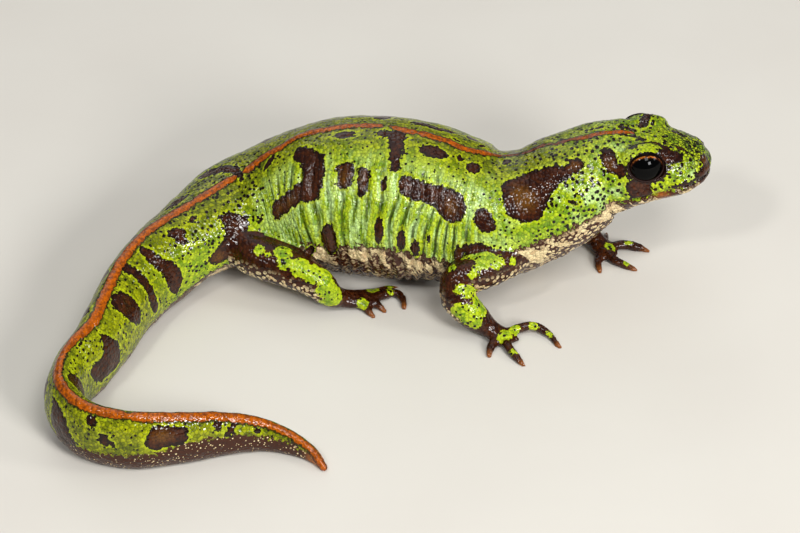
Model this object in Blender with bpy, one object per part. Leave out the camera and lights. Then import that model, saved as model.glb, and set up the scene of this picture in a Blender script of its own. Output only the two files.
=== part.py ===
"""Southern marbled newt, a life-size still model, standing with its head raised and its tail curled.

The animal faces +X and turns its right side to -Y. It rests on its belly, hands, feet and the lower
edge of its tail, all flat at Z = 0. Body, tail and limbs are smooth sweeps of oval sections along
their own centre lines, parted by thin cuts into the pieces that a person would name.
Sizes below are in millimetres, and MM turns them into metres.
"""

import math

import bmesh
import bpy
import numpy as np

MM = 0.001
GAP = 0.3
SINK = 0.25
CENTRING = (1.45, 7.1, -SINK)

# How fine the sweeps are
BODY_SIDES = 30
BODY_STEP = 2.2
HEAD_SIDES = 40
HEAD_STEP = 0.85
LIMB_SIDES = 14
LIMB_STEP = 1.5
DIGIT_SIDES = 8
DIGIT_STEP = 1.1
EYE_FINENESS = (20, 14)
NOSTRIL_FINENESS = (8, 6)
RIM_SIDES = 6
JAW_POINTS = 12
SNOUT_RINGS = (0.0, 0.35)
DIRECTION_STEP = 0.05

# The low cone that closes a sweep's last ring, and the turns of a dome's rings before it
TIP = 0.15
TAIL_TIP = 0.4
DOME_TURNS = (0.5, 1.0, 1.35)

# Centre line x, y, z; half width, height above it, depth below it; roll in degrees towards +Y; and
# blade, which is below 0 for a flat-topped section, 0 for an oval one and 1 for a tail's thin lens.
SNOUT_TO_VENT = (
    (30.2, -0.5, 13.40, 0.8, 0.5, 0.5, 0, -0.1),
    (29.6, -0.5, 13.40, 2.1, 1.5, 1.4, 0, -0.2),
    (28.5, -0.5, 13.40, 3.2, 2.2, 2.0, 0, -0.3),
    (26.8, -0.6, 13.35, 3.9, 3.0, 2.6, 0, -0.3),
    (24.2, -0.4, 13.10, 4.3, 3.6, 3.3, 0, -0.3),
    (21.5, 0.0, 12.60, 4.8, 4.1, 4.05, 0, -0.25),
    (19.6, 0.0, 12.10, 4.9, 4.5, 4.4, 0, -0.15),
    (16.7, -0.7, 10.60, 5.5, 5.4, 5.4, 6, 0),
    (13.7, -1.2, 8.90, 5.9, 5.6, 5.6, 12, 0),
    (9.8, -1.2, 7.60, 6.5, 6.4, 6.4, 12, 0),
    (5.9, -0.4, 7.50, 7.2, 7.4, 7.3, 5, 0),
    (2.0, 0.2, 7.95, 7.7, 8.0, 7.9, 8, 0),
    (-2.0, 0.9, 8.00, 7.8, 8.1, 8.0, 10, 0),
    (-5.9, 1.6, 7.70, 7.5, 7.8, 7.7, 8, 0),
    (-9.9, 2.4, 6.75, 6.9, 6.8, 6.7, 6, 0),
    (-12.9, 2.3, 6.00, 6.4, 6.0, 5.9, 3, 0),
    (-15.9, 1.4, 5.50, 5.9, 5.4, 4.9, -3, 0),
)
# The tail stands on its lower edge: centre line x, y; half width, height; and roll in degrees.
TAIL = (
    (-20.0, -2.0, 4.3, 9.8, 1),
    (-23.4, -5.6, 3.2, 9.3, 10),
    (-26.0, -9.9, 2.6, 8.7, 14),
    (-27.7, -14.6, 2.3, 8.2, 13),
    (-29.3, -18.9, 2.0, 7.8, 10),
    (-31.0, -22.3, 1.9, 7.5, 6),
    (-31.4, -25.8, 1.9, 7.3, 2),
    (-29.4, -29.0, 1.75, 7.1, 0),
    (-25.4, -30.5, 1.6, 6.9, 0),
    (-20.4, -29.8, 1.45, 6.1, 0),
    (-15.8, -28.5, 1.25, 4.9, 0),
    (-12.2, -28.1, 1.05, 3.6, 0),
    (-9.6, -28.9, 0.8, 2.6, 0),
    (-7.9, -30.0, 0.55, 1.7, 0),
    (-6.9, -31.2, 0.25, 0.7, 0),
)
TAIL_BASE_CLEARANCE = 1.2
BLADE_START = 52.0
BLADE_LENGTH = 10.0

# Where the body is parted, by distance along it from the snout.
BODY_CUTS = (
    ("head", 0.0),
    ("neck", 11.6),
    ("chest", 16.8),
    ("trunk", 27.5),
    ("pelvis", 42.5),
    ("tail_base", 51.5),
    ("tail_middle", 63.0),
    ("tail_bend", 74.5),
    ("tail_end", 88.5),
)

# Head: places are measured from EYE_LEVEL on the centre line, x forward, y to the left, z up.
EYE_LEVEL = (23.6, -0.4, 13.1)
EYE_CENTRE = (0.0, 2.35, 1.85)
EYE_FACING = (0.15, 0.95, 0.27)
EYE_RADIUS = 2.05
EYE_DEPTH = 0.9
EYE_GAP = 0.25
LID_SWELLING = (2.5, 2.15, 1.95)
LID_OPENING = (1.68, 1.34)
LID_RIM = 0.22
LID_RIM_SET_BACK = 0.12
SOCKET_REACH = 4.0
NOSTRIL = (29.25, 1.45, 14.85)
NOSTRIL_RADIUS = 0.3
MOUTH_LINE = ((21.6, 11.6), (24.5, 12.35), (27.0, 13.1), (29.0, 13.25), (32.0, 13.1))
LIP_HEIGHT = 0.16
LIP_WIDTH = 0.45
LIP_OFFSET = 0.5
LIP_FADE = 1.5
JAW_BOTTOM = 6.0
JAW_SIDES = (-9.0, 9.0)

# Limbs: centre line x, y, z; half width and half height. Each root lies inside the body.
RIGHT_FORELEG = (
    (13.0, -4.0, 6.2, 1.6, 1.7),
    (9.4, -7.8, 6.2, 1.7, 1.8),
    (7.4, -8.6, 5.9, 1.7, 1.85),
    (5.4, -9.2, 5.2, 1.6, 1.75),
    (5.5, -10.0, 4.0, 1.6, 1.65),
    (6.5, -10.6, 3.0, 1.55, 1.6),
    (7.6, -11.0, 2.1, 1.35, 1.3),
    (8.7, -11.4, 1.3, 1.05, 0.85),
    (9.7, -11.9, 0.9, 1.15, 0.65),
    (10.6, -12.2, 0.75, 1.1, 0.55),
    (11.2, -12.3, 0.7, 0.5, 0.3),
)
LEFT_FORELEG = (
    (11.0, -0.5, 6.3, 1.6, 1.7),
    (11.5, 1.5, 6.3, 1.6, 1.7),
    (12.4, 5.0, 6.2, 1.7, 1.8),
    (13.8, 7.6, 5.8, 1.7, 1.8),
    (15.3, 8.3, 5.0, 1.6, 1.7),
    (16.9, 6.7, 3.8, 1.5, 1.55),
    (18.4, 4.5, 2.5, 1.3, 1.25),
    (19.6, 2.6, 1.4, 1.0, 0.85),
    (20.3, 1.9, 0.95, 1.15, 0.65),
    (21.0, 1.5, 0.75, 1.1, 0.55),
    (21.5, 1.3, 0.7, 0.5, 0.3),
)
RIGHT_HIND_LEG = (
    (-16.4, -1.0, 5.2, 1.9, 2.0),
    (-15.4, -3.6, 5.2, 2.0, 2.1),
    (-13.4, -5.1, 5.0, 2.0, 2.1),
    (-11.2, -6.0, 4.7, 1.9, 2.0),
    (-9.3, -6.8, 4.3, 1.75, 1.8),
    (-7.8, -7.3, 3.4, 1.55, 1.6),
    (-6.9, -7.3, 2.3, 1.3, 1.3),
    (-5.7, -6.8, 1.4, 1.05, 0.95),
    (-4.4, -6.5, 1.0, 1.25, 0.7),
    (-3.2, -6.2, 0.75, 1.3, 0.6),
    (-2.5, -6.1, 0.7, 0.6, 0.3),
)
LEFT_HIND_LEG = (
    (-15.0, 0.8, 5.1, 1.8, 1.9),
    (-15.2, 3.0, 5.1, 1.9, 2.0),
    (-15.4, 6.2, 5.0, 2.0, 2.1),
    (-14.8, 9.0, 5.0, 1.95, 2.0),
    (-14.0, 11.2, 4.7, 1.75, 1.8),
    (-14.4, 12.7, 3.6, 1.55, 1.6),
    (-15.1, 13.5, 2.4, 1.3, 1.3),
    (-15.4, 14.1, 1.5, 1.05, 0.95),
    (-15.1, 14.9, 0.95, 1.2, 0.7),
    (-14.4, 15.6, 0.75, 1.3, 0.6),
    (-14.0, 16.0, 0.7, 0.6, 0.3),
)
# Every limb bends at the elbow or knee in one row, and is parted at the wrist or ankle in another.
JOINT_ROW = 4
WRIST_ROW = 7
FORELEG_PIECES = ("upper_arm", "forearm", "hand")
HIND_LEG_PIECES = ("thigh", "shin", "foot")

# Fingers and toes: each runs through these x, y, z, the last being its tip.
DIGIT_RADII = (0.52, 0.46, 0.44, 0.26)
RIGHT_FINGERS = (
    ((10.0, -11.7, 0.8), (11.2, -10.9, 0.6), (12.3, -10.2, 0.35)),
    ((10.2, -11.9, 0.8), (11.7, -11.0, 1.0), (12.9, -10.8, 1.1), (14.2, -11.3, 0.8), (15.5, -13.1, 0.35)),
    ((10.0, -12.3, 0.8), (10.6, -13.8, 0.8), (11.2, -14.9, 0.6), (11.9, -15.9, 0.35)),
    ((9.6, -12.2, 0.7), (8.8, -13.4, 0.6), (8.6, -14.6, 0.35)),
)
LEFT_FINGERS = (
    ((20.4, 1.6, 0.7), (19.8, 0.0, 0.6), (19.9, -1.3, 0.35)),
    ((20.6, 1.6, 0.8), (21.4, 0.1, 0.8), (22.4, -0.5, 0.6), (23.5, -1.0, 0.35)),
    ((20.6, 1.8, 0.8), (22.1, 2.5, 0.8), (23.8, 2.4, 0.6), (24.9, 2.1, 0.35)),
    ((20.4, 2.0, 0.7), (20.6, 3.6, 0.6), (20.9, 4.9, 0.35)),
)
RIGHT_TOES = (
    ((-3.8, -6.0, 0.8), (-3.1, -4.9, 0.6), (-2.0, -4.3, 0.35)),
    ((-3.5, -6.1, 0.8), (-2.2, -5.2, 0.7), (-1.2, -4.1, 0.5), (-0.2, -3.7, 0.35)),
    ((-3.5, -6.2, 0.8), (-1.9, -5.9, 0.9), (-0.3, -5.2, 0.8), (0.3, -6.0, 0.6), (0.4, -7.1, 0.35)),
    ((-3.6, -6.4, 0.8), (-2.3, -6.9, 0.7), (-1.5, -7.6, 0.35)),
    ((-3.9, -6.6, 0.7), (-3.3, -7.6, 0.6), (-2.6, -8.4, 0.35)),
)
LEFT_TOES = (
    ((-14.9, 14.8, 0.8), (-13.6, 14.5, 0.6), (-12.3, 14.6, 0.35)),
    ((-14.7, 15.1, 0.8), (-13.1, 15.3, 0.8), (-11.5, 15.8, 0.35)),
    ((-14.7, 15.3, 0.8), (-13.3, 16.3, 0.9), (-12.0, 17.4, 0.35)),
    ((-14.8, 15.4, 0.8), (-14.1, 16.8, 0.8), (-13.3, 18.0, 0.35)),
    ((-15.1, 15.3, 0.7), (-15.1, 16.5, 0.6), (-15.0, 17.5, 0.35)),
)

GREEN = "6E8C22"
DARK_GREEN = "566F1E"
BROWN = "3B1D14"
CREAM = "9A7B4A"
EYE_BLACK = "120C0A"


def smooth_curve(knots, values, at):
    """Cubic Hermite curve through the values, read at the given places along the knots."""
    at = np.clip(at, knots[0], knots[-1])
    index = np.clip(np.searchsorted(knots, at, side="right") - 1, 0, len(knots) - 2)
    span = knots[index + 1] - knots[index]
    part = ((at - knots[index]) / span)[:, None]
    span = span[:, None]
    slope = np.gradient(values, knots, axis=0)
    before = (1 + 2 * part) * (1 - part) ** 2 * values[index]
    before = before + part * (1 - part) ** 2 * span * slope[index]
    after = part**2 * (3 - 2 * part) * values[index + 1]
    after = after - part**2 * (1 - part) * span * slope[index + 1]
    return before + after


class Track:
    """A centre line with the size, roll and form of the oval section at each of its points."""

    def __init__(self, rows):
        self.rows = np.array(rows, float)
        steps = np.linalg.norm(np.diff(self.rows[:, :3], axis=0), axis=1)
        self.knots = np.concatenate([[0.0], np.cumsum(steps)])
        self.length = self.knots[-1]

    def read(self, at):
        return smooth_curve(self.knots, self.rows, np.asarray(at, float))

    def place_of(self, row):
        """Distance along the track of a row's number, which may lie between two rows."""
        return float(np.interp(row, np.arange(len(self.knots)), self.knots))

    def frames(self, at):
        """Centre, upward and sideways directions and sizes at each distance."""
        at = np.asarray(at, float)
        here = self.read(at)
        forward = self.read(at - DIRECTION_STEP)[:, :3] - self.read(at + DIRECTION_STEP)[:, :3]
        forward /= np.linalg.norm(forward, axis=1)[:, None]
        up = np.array([0.0, 0.0, 1.0]) - forward * forward[:, 2:3]
        up /= np.linalg.norm(up, axis=1)[:, None]
        side = np.cross(up, forward)
        roll = np.radians(here[:, 6])[:, None]
        top = up * np.cos(roll) + side * np.sin(roll)
        left = side * np.cos(roll) - up * np.sin(roll)
        return here, top, left

    def rings(self, at, sides, grow=0.0):
        """Section outlines, each a ring of points that starts at the top and goes to the left."""
        here, top, left = self.frames(at)
        angle = np.arange(sides) * 2 * math.pi / sides
        cos = np.cos(angle)[None]
        sin = np.sin(angle)[None]
        width, rise, drop, blade = (here[:, k : k + 1] for k in (3, 4, 5, 7))
        across = (width + grow) * np.sign(sin) * np.abs(sin) ** (1 + 0.5 * blade)
        reach = np.where(cos > 0, rise, drop) + grow
        height = reach * np.sign(cos) * np.abs(cos) ** (1 - 0.15 * np.abs(blade))
        centre = here[:, None, :3]
        return centre + left[:, None] * across[..., None] + top[:, None] * height[..., None]


def body_track():
    rows = [list(row) for row in SNOUT_TO_VENT]
    for number, (x, y, width, height, roll) in enumerate(TAIL):
        clearance = TAIL_BASE_CLEARANCE if number == 0 else 0.0
        half = (height - clearance) / 2
        rows.append([x, y, clearance + half, width, half, half, roll, 0.0])
    track = Track(rows)
    tail = np.clip((track.knots - BLADE_START) / BLADE_LENGTH, 0, 1)
    track.rows[:, 7] += tail
    return track


def limb_track(rows):
    return Track([(x, y, z, width, height, height, 0, 0) for x, y, z, width, height in rows])


def digit_track(points):
    places = np.linspace(0, 1, len(points))
    radii = np.interp(places, np.linspace(0, 1, len(DIGIT_RADII)), DIGIT_RADII)
    return limb_track([(*point, r, r) for point, r in zip(points, radii)])


def spaced(start, end, step):
    return np.linspace(start, end, max(3, math.ceil((end - start) / step) + 1))


def material(name, colour, roughness):
    made = bpy.data.materials.new(name)
    made.use_nodes = True
    shader = made.node_tree.nodes["Principled BSDF"]
    levels = [int(colour[k : k + 2], 16) / 255 for k in (0, 2, 4)]
    linear = [v / 12.92 if v <= 0.04045 else ((v + 0.055) / 1.055) ** 2.4 for v in levels]
    shader.inputs["Base Color"].default_value = (*linear, 1.0)
    shader.inputs["Roughness"].default_value = roughness
    shader.inputs["Metallic"].default_value = 0.0
    made.diffuse_color = (*linear, 1.0)
    return made


def new_object(name, points, faces):
    """An object from points in millimetres, before the model is centred."""
    mesh = bpy.data.meshes.new(name)
    placed = (np.asarray(points, float).reshape(-1, 3) + CENTRING) * MM
    mesh.from_pydata([tuple(point) for point in placed], [], faces)
    obj = bpy.data.objects.new(name, mesh)
    bpy.context.scene.collection.objects.link(obj)
    return obj


def outward_faces(obj):
    mesh = bmesh.new()
    mesh.from_mesh(obj.data)
    bmesh.ops.recalc_face_normals(mesh, faces=mesh.faces)
    mesh.to_mesh(obj.data)
    mesh.free()
    return obj


def rounded(rings):
    """The rings with a dome added beyond the last one, up to where its tip closes it."""
    middle = rings[-1].mean(axis=0)
    along = middle - rings[-2].mean(axis=0)
    along /= np.linalg.norm(along)
    spoke = rings[-1] - middle
    depth = np.linalg.norm(spoke, axis=1).mean()
    dome = []
    for turn in DOME_TURNS:
        dome.append(middle + along * depth * math.sin(turn) + spoke * math.cos(turn))
    return np.concatenate([rings, np.array(dome)])


def sweep(name, rings, tip=0.0):
    """A closed solid over a stack of rings, closed by a flat face at each end.

    With a tip the last ring is closed by a low cone of that height instead.
    """
    count, sides = rings.shape[:2]
    points = rings.reshape(-1, 3)
    faces = []
    for ring in range(count - 1):
        for k in range(sides):
            a = ring * sides + k
            b = ring * sides + (k + 1) % sides
            faces.append((a, b, b + sides, a + sides))
    faces.append(tuple(range(sides - 1, -1, -1)))
    last = (count - 1) * sides
    if tip:
        middle = rings[-1].mean(axis=0)
        along = middle - rings[-2].mean(axis=0)
        points = np.vstack([points, middle + along / np.linalg.norm(along) * tip])
        for k in range(sides):
            faces.append((last + k, last + (k + 1) % sides, len(points) - 1))
    else:
        faces.append(tuple(range(last, last + sides)))
    return outward_faces(new_object(name, points, faces))


def ball(name, centre, radii, fineness):
    """A sphere or, with three unlike radii, an ellipsoid, with its poles up and down."""
    segments, rings = fineness
    rows = []
    for k in range(1, rings):
        tilt = math.pi * k / rings
        for m in range(segments):
            turn = 2 * math.pi * m / segments
            rows.append((math.sin(tilt) * math.cos(turn), math.sin(tilt) * math.sin(turn), math.cos(tilt)))
    points = np.array([(0, 0, 1.0), *rows, (0, 0, -1.0)]) * radii + np.asarray(centre, float)
    faces = []
    for m in range(segments):
        n = (m + 1) % segments
        faces.append((0, 1 + m, 1 + n))
        for k in range(rings - 2):
            a = 1 + k * segments
            faces.append((a + m, a + segments + m, a + segments + n, a + n))
        a = 1 + (rings - 2) * segments
        faces.append((len(points) - 1, a + n, a + m))
    return new_object(name, points, faces)


def remove(objects):
    for obj in objects:
        mesh = obj.data
        bpy.data.objects.remove(obj)
        bpy.data.meshes.remove(mesh)


def keep_largest(obj):
    """Drops every closed surface of the mesh but the one that holds the most."""
    mesh = bmesh.new()
    mesh.from_mesh(obj.data)
    unseen = set(mesh.faces)
    best, best_volume = [], 0.0
    while unseen:
        stack = [unseen.pop()]
        island = []
        while stack:
            face = stack.pop()
            island.append(face)
            for edge in face.edges:
                for other in edge.link_faces:
                    if other in unseen:
                        unseen.remove(other)
                        stack.append(other)
        volume = sum(face.calc_area() * face.normal.dot(face.calc_center_median()) for face in island)
        if volume > best_volume:
            best, best_volume = island, volume
    kept = set(best)
    bmesh.ops.delete(mesh, geom=[face for face in mesh.faces if face not in kept], context="FACES")
    mesh.to_mesh(obj.data)
    mesh.free()


def combine(obj, others, operation):
    """Joins the others to the object, or cuts them out of it, and removes them."""
    group = bpy.data.collections.new("operands")
    bpy.context.scene.collection.children.link(group)
    for other in others:
        bpy.context.scene.collection.objects.unlink(other)
        group.objects.link(other)
    step = obj.modifiers.new("combine", "BOOLEAN")
    step.operation = operation
    step.operand_type = "COLLECTION"
    step.collection = group
    step.solver = "EXACT"
    graph = bpy.context.evaluated_depsgraph_get()
    made = bpy.data.meshes.new_from_object(obj.evaluated_get(graph))
    obj.modifiers.clear()
    old = obj.data
    obj.data = made
    bpy.data.meshes.remove(old)
    remove(others)
    bpy.data.collections.remove(group)
    keep_largest(obj)


def stand_on_ground(obj):
    """Cuts off what lies below Z = 0 and closes the cut with a flat face."""
    mesh = bmesh.new()
    mesh.from_mesh(obj.data)
    everything = mesh.verts[:] + mesh.edges[:] + mesh.faces[:]
    bmesh.ops.bisect_plane(
        mesh, geom=everything, dist=1e-7, plane_co=(0, 0, 0), plane_no=(0, 0, 1), clear_inner=True
    )
    open_edges = [edge for edge in mesh.edges if edge.is_boundary]
    if open_edges:
        bmesh.ops.holes_fill(mesh, edges=open_edges, sides=0)
    mesh.to_mesh(obj.data)
    mesh.free()


def finish(obj, name, colour, roughness=0.35):
    """Names the piece, sets it on the ground, shades it and gives it its own material."""
    stand_on_ground(obj)
    obj.name = name
    obj.data.name = name
    obj.data.materials.clear()
    obj.data.materials.append(material(name + "_skin", colour, roughness))
    obj.data.shade_smooth()
    obj.data.set_sharp_from_angle(angle=math.radians(40))
    return obj


def unit(vector):
    vector = np.asarray(vector, float)
    return vector / np.linalg.norm(vector)


def eye_frame(side):
    """Centre of the eye, the way it faces, and the long and short directions of its opening."""
    mirror = np.array([1.0, side, 1.0])
    centre = np.array(EYE_LEVEL) + np.array(EYE_CENTRE) * mirror
    facing = unit(np.array(EYE_FACING) * mirror)
    along = unit(np.array([1.0, 0.0, 0.0]) - facing * facing[0])
    upward = np.cross(along, facing) * side * -1
    return centre, facing, along, upward


def opening_outline(side, reach, widen=0.0, points=20):
    """The oval of the eye's opening, at a distance from the eye's centre along its facing."""
    centre, facing, along, upward = eye_frame(side)
    angle = np.arange(points) * 2 * math.pi / points
    wide, high = (size + widen for size in LID_OPENING)
    flat = along * wide * np.cos(angle)[:, None] + upward * high * np.sin(angle)[:, None]
    return centre + facing * reach + flat


def lid_rim(side):
    """A ring of round section along the edge of the lids.

    Each of its points lies where a line along the eye's facing leaves the swelling round the eye.
    """
    centre, facing, _, _ = eye_frame(side)
    oval = opening_outline(side, 0.0, widen=LID_RIM + LID_RIM_SET_BACK) - centre
    radii = np.array(LID_SWELLING)
    a = ((facing / radii) ** 2).sum()
    b = (oval * facing / radii**2).sum(axis=1)
    c = ((oval / radii) ** 2).sum(axis=1) - 1
    away = (np.sqrt(np.maximum(b**2 - a * c, 0.0)) - b) / a
    line = centre + oval + facing * away[:, None]
    outward = oval / np.linalg.norm(oval, axis=1)[:, None]
    count = len(line)
    points = []
    for k in range(RIM_SIDES):
        turn = 2 * math.pi * k / RIM_SIDES
        points.append(line + LID_RIM * (outward * math.cos(turn) + facing * math.sin(turn)))
    points = np.stack(points, axis=1).reshape(-1, 3)
    faces = []
    for m in range(count):
        for k in range(RIM_SIDES):
            a = m * RIM_SIDES + k
            b = m * RIM_SIDES + (k + 1) % RIM_SIDES
            c = (m + 1) % count * RIM_SIDES + (k + 1) % RIM_SIDES
            d = (m + 1) % count * RIM_SIDES + k
            faces.append((a, b, c, d))
    return outward_faces(new_object("lid_rim", points, faces))


def eye_plug(side, grow):
    """An oval plug that fills the opening between the lids, grown by the given gap."""
    starts = opening_outline(side, EYE_DEPTH - grow, grow)
    return sweep("plug", np.stack([starts, opening_outline(side, SOCKET_REACH, grow)]))


def build_eye(side, word):
    """The part of the eyeball that shows, a domed plug set in its socket."""
    centre, _, _, _ = eye_frame(side)
    eye = ball("eye", centre, [EYE_RADIUS] * 3, EYE_FINENESS)
    combine(eye, [eye_plug(side, 0.0)], "INTERSECT")
    finish(eye, "eye_" + word, EYE_BLACK, 0.05)


def mouth_height(x):
    line = np.array(MOUTH_LINE)
    return smooth_curve(line[:, 0], line[:, 1:], np.asarray(x, float).ravel())[:, 0]


def jaw_block(grow):
    """A block under the line of the mouth and in front of its corners, grown by the given gap."""
    corner = MOUTH_LINE[0][0] - grow
    front = MOUTH_LINE[-1][0]
    x = np.linspace(corner, front, JAW_POINTS)
    top = mouth_height(np.maximum(x, MOUTH_LINE[0][0])) + grow
    outline = [(corner - 1.0, JAW_BOTTOM), *zip(x, top), (front, JAW_BOTTOM)]
    rings = np.array([[(px, y, pz) for px, pz in outline] for y in JAW_SIDES])
    return sweep("jaw_block", rings)


def head_rings(track, places):
    """The head's sections, with a lip raised above and below the line of the mouth."""
    rings = track.rings(places, HEAD_SIDES)
    centre = track.read(places)[:, None, :3]
    out = rings - centre
    out = out / np.maximum(np.linalg.norm(out, axis=2), 1e-6)[..., None]
    above = rings[..., 2] - mouth_height(rings[..., 0]).reshape(rings.shape[:2])
    lips = np.exp(-(((above - LIP_OFFSET) / LIP_WIDTH) ** 2))
    lips = lips + np.exp(-(((above + LIP_OFFSET) / LIP_WIDTH) ** 2))
    ahead = np.clip((rings[..., 0] - MOUTH_LINE[0][0]) / LIP_FADE, 0, 1)
    return rings + out * (LIP_HEIGHT * lips * ahead)[..., None]


def build_head(track, end):
    places = np.concatenate([SNOUT_RINGS, spaced(HEAD_STEP, end - GAP / 2, HEAD_STEP)])
    rings = head_rings(track, places)[::-1]
    head = sweep("head", rings, TIP)
    jaw = sweep("jaw", rings, TIP)
    combine(jaw, [jaw_block(0.0)], "INTERSECT")
    finish(jaw, "lower_jaw", CREAM)
    additions = []
    cuts = [jaw_block(GAP)]
    for side, word in ((-1, "right"), (1, "left")):
        swelling = eye_frame(side)[0]
        additions += [ball("swelling", swelling, LID_SWELLING, EYE_FINENESS), lid_rim(side)]
        nostril = (NOSTRIL[0], EYE_LEVEL[1] + side * NOSTRIL[1], NOSTRIL[2])
        cuts += [eye_plug(side, EYE_GAP), ball("nostril", nostril, [NOSTRIL_RADIUS] * 3, NOSTRIL_FINENESS)]
        build_eye(side, word)
    combine(head, additions, "UNION")
    combine(head, cuts, "DIFFERENCE")
    finish(head, "head", GREEN)


def build_body(track):
    names = [name for name, _ in BODY_CUTS]
    edges = [place for _, place in BODY_CUTS] + [track.length]
    for number, name in enumerate(names):
        start, end = edges[number], edges[number + 1]
        if name == "head":
            build_head(track, end)
            continue
        last = number == len(names) - 1
        places = spaced(start + GAP / 2, end if last else end - GAP / 2, BODY_STEP)
        rings = track.rings(places, BODY_SIDES)
        piece = sweep(name, rings, TAIL_TIP if last else 0.0)
        finish(piece, name, DARK_GREEN if number % 2 else GREEN)


def grown_body(track):
    """The body from neck to tail made larger by the gap, which trims the roots of the limbs."""
    cuts = dict(BODY_CUTS)
    places = spaced(cuts["neck"], cuts["tail_bend"], BODY_STEP)
    return sweep("grown_body", track.rings(places, BODY_SIDES, GAP))


def build_digits(points_list):
    made = []
    for points in points_list:
        track = digit_track(points)
        rings = track.rings(spaced(0, track.length, DIGIT_STEP), DIGIT_SIDES)
        made.append(sweep("digit", rings, TIP))
    return made


def build_limb(body, rows, names, digits, side):
    """Three pieces: one to the elbow or knee, one to the wrist or ankle, and the hand or foot."""
    upper = limb_track(rows[: JOINT_ROW + 1])
    lower = limb_track(rows[JOINT_ROW:])
    parting = lower.place_of(WRIST_ROW - JOINT_ROW)

    def upper_piece(grow):
        rings = rounded(upper.rings(spaced(0, upper.length, LIMB_STEP), LIMB_SIDES, grow))
        return sweep("upper", rings, TIP)

    first = upper_piece(0.0)
    combine(first, [grown_body(body)], "DIFFERENCE")
    rings = lower.rings(spaced(0, parting - GAP / 2, LIMB_STEP), LIMB_SIDES)
    second = sweep("lower", rounded(rings[::-1]), TIP)
    combine(second, [upper_piece(GAP), grown_body(body)], "DIFFERENCE")
    rings = lower.rings(spaced(parting + GAP / 2, lower.length, LIMB_STEP), LIMB_SIDES)
    third = sweep("end", rings, TIP)
    combine(third, build_digits(digits), "UNION")
    combine(third, [grown_body(body)], "DIFFERENCE")
    for piece, name, colour in zip((first, second, third), names, (BROWN, DARK_GREEN, BROWN)):
        finish(piece, f"{name}_{side}", colour)


def main():
    for obj in list(bpy.data.objects):
        bpy.data.objects.remove(obj)
    body = body_track()
    build_body(body)
    build_limb(body, RIGHT_FORELEG, FORELEG_PIECES, RIGHT_FINGERS, "right")
    build_limb(body, LEFT_FORELEG, FORELEG_PIECES, LEFT_FINGERS, "left")
    build_limb(body, RIGHT_HIND_LEG, HIND_LEG_PIECES, RIGHT_TOES, "right")
    build_limb(body, LEFT_HIND_LEG, HIND_LEG_PIECES, LEFT_TOES, "left")


main()
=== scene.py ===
"""The looks of a life-size southern marbled newt, standing with its head raised and its tail curled.

One skin covers the body, tail and limbs. It is a sum of oval sweeps along the animal's own centre
lines, fused, smoothed and then folded, wrinkled and warted in numpy. Its marbling is drawn in two
coordinates of the animal itself: millimetres along the back from the snout, and millimetres round
the girth from the ridge of the back. Sizes are in millimetres of the animal's own drawing frame, and
in_metres turns them into the frame of the solids.
"""

import logging
import math
from dataclasses import dataclass, field
from enum import Enum
from typing import Any

import bpy
import numpy as np
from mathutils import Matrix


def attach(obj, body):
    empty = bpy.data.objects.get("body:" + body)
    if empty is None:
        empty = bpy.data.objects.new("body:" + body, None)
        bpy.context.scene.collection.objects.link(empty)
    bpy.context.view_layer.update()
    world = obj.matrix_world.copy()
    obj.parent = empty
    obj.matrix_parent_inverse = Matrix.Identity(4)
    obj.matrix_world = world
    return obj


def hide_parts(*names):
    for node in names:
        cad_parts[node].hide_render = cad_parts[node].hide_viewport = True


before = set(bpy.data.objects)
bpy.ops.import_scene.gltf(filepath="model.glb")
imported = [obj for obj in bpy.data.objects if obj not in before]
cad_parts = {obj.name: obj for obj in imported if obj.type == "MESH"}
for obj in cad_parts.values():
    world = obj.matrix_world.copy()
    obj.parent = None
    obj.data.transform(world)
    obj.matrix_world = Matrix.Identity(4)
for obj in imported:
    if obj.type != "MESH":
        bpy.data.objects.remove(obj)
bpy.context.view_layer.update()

MM = 0.001
CENTRING = (1.45, 7.1, -0.25)
GROUND = 0.25
ROOT = "root"
LOG = logging.getLogger("newt")
# Columns of a row that describes one section
WIDTH, RISE, DROP, ROLL, BLADE = 3, 4, 5, 6, 7
# Depth given to a place that lies far outside a mark
OUTSIDE = -2.5
# Sideways place of the head's middle
HEAD_MIDDLE = -0.4

# Centre line x, y, z; half width, height above it, depth below it; roll in degrees towards +Y; and
# blade, which is below 0 for a flat-topped section, 0 for an oval one and 1 for a tail's thin lens.
SNOUT_TO_VENT = (
    (30.2, -0.5, 13.40, 0.8, 0.5, 0.5, 0, -0.1),
    (29.6, -0.5, 13.40, 2.1, 1.5, 1.4, 0, -0.2),
    (28.5, -0.5, 13.40, 3.2, 2.2, 2.0, 0, -0.3),
    (26.8, -0.6, 13.35, 3.9, 3.0, 2.6, 0, -0.3),
    (24.2, -0.4, 13.10, 4.3, 3.6, 3.3, 0, -0.3),
    (21.5, 0.0, 12.60, 4.8, 4.1, 4.05, 0, -0.25),
    (19.6, 0.0, 12.10, 4.9, 4.5, 4.4, 0, -0.15),
    (16.7, -0.7, 10.60, 5.5, 5.4, 5.4, 6, 0),
    (13.7, -1.2, 8.90, 5.9, 5.6, 5.6, 12, 0),
    (9.8, -1.2, 7.60, 6.5, 6.4, 6.4, 12, 0),
    (5.9, -0.4, 7.50, 7.2, 7.4, 7.3, 5, 0),
    (2.0, 0.2, 7.95, 7.7, 8.0, 7.9, 8, 0),
    (-2.0, 0.9, 8.00, 7.8, 8.1, 8.0, 10, 0),
    (-5.9, 1.6, 7.70, 7.5, 7.8, 7.7, 8, 0),
    (-9.9, 2.4, 6.75, 6.9, 6.8, 6.7, 6, 0),
    (-12.9, 2.3, 6.00, 6.4, 6.0, 5.9, 3, 0),
    (-15.9, 1.4, 5.50, 5.9, 5.4, 4.9, -3, 0),
)
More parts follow.
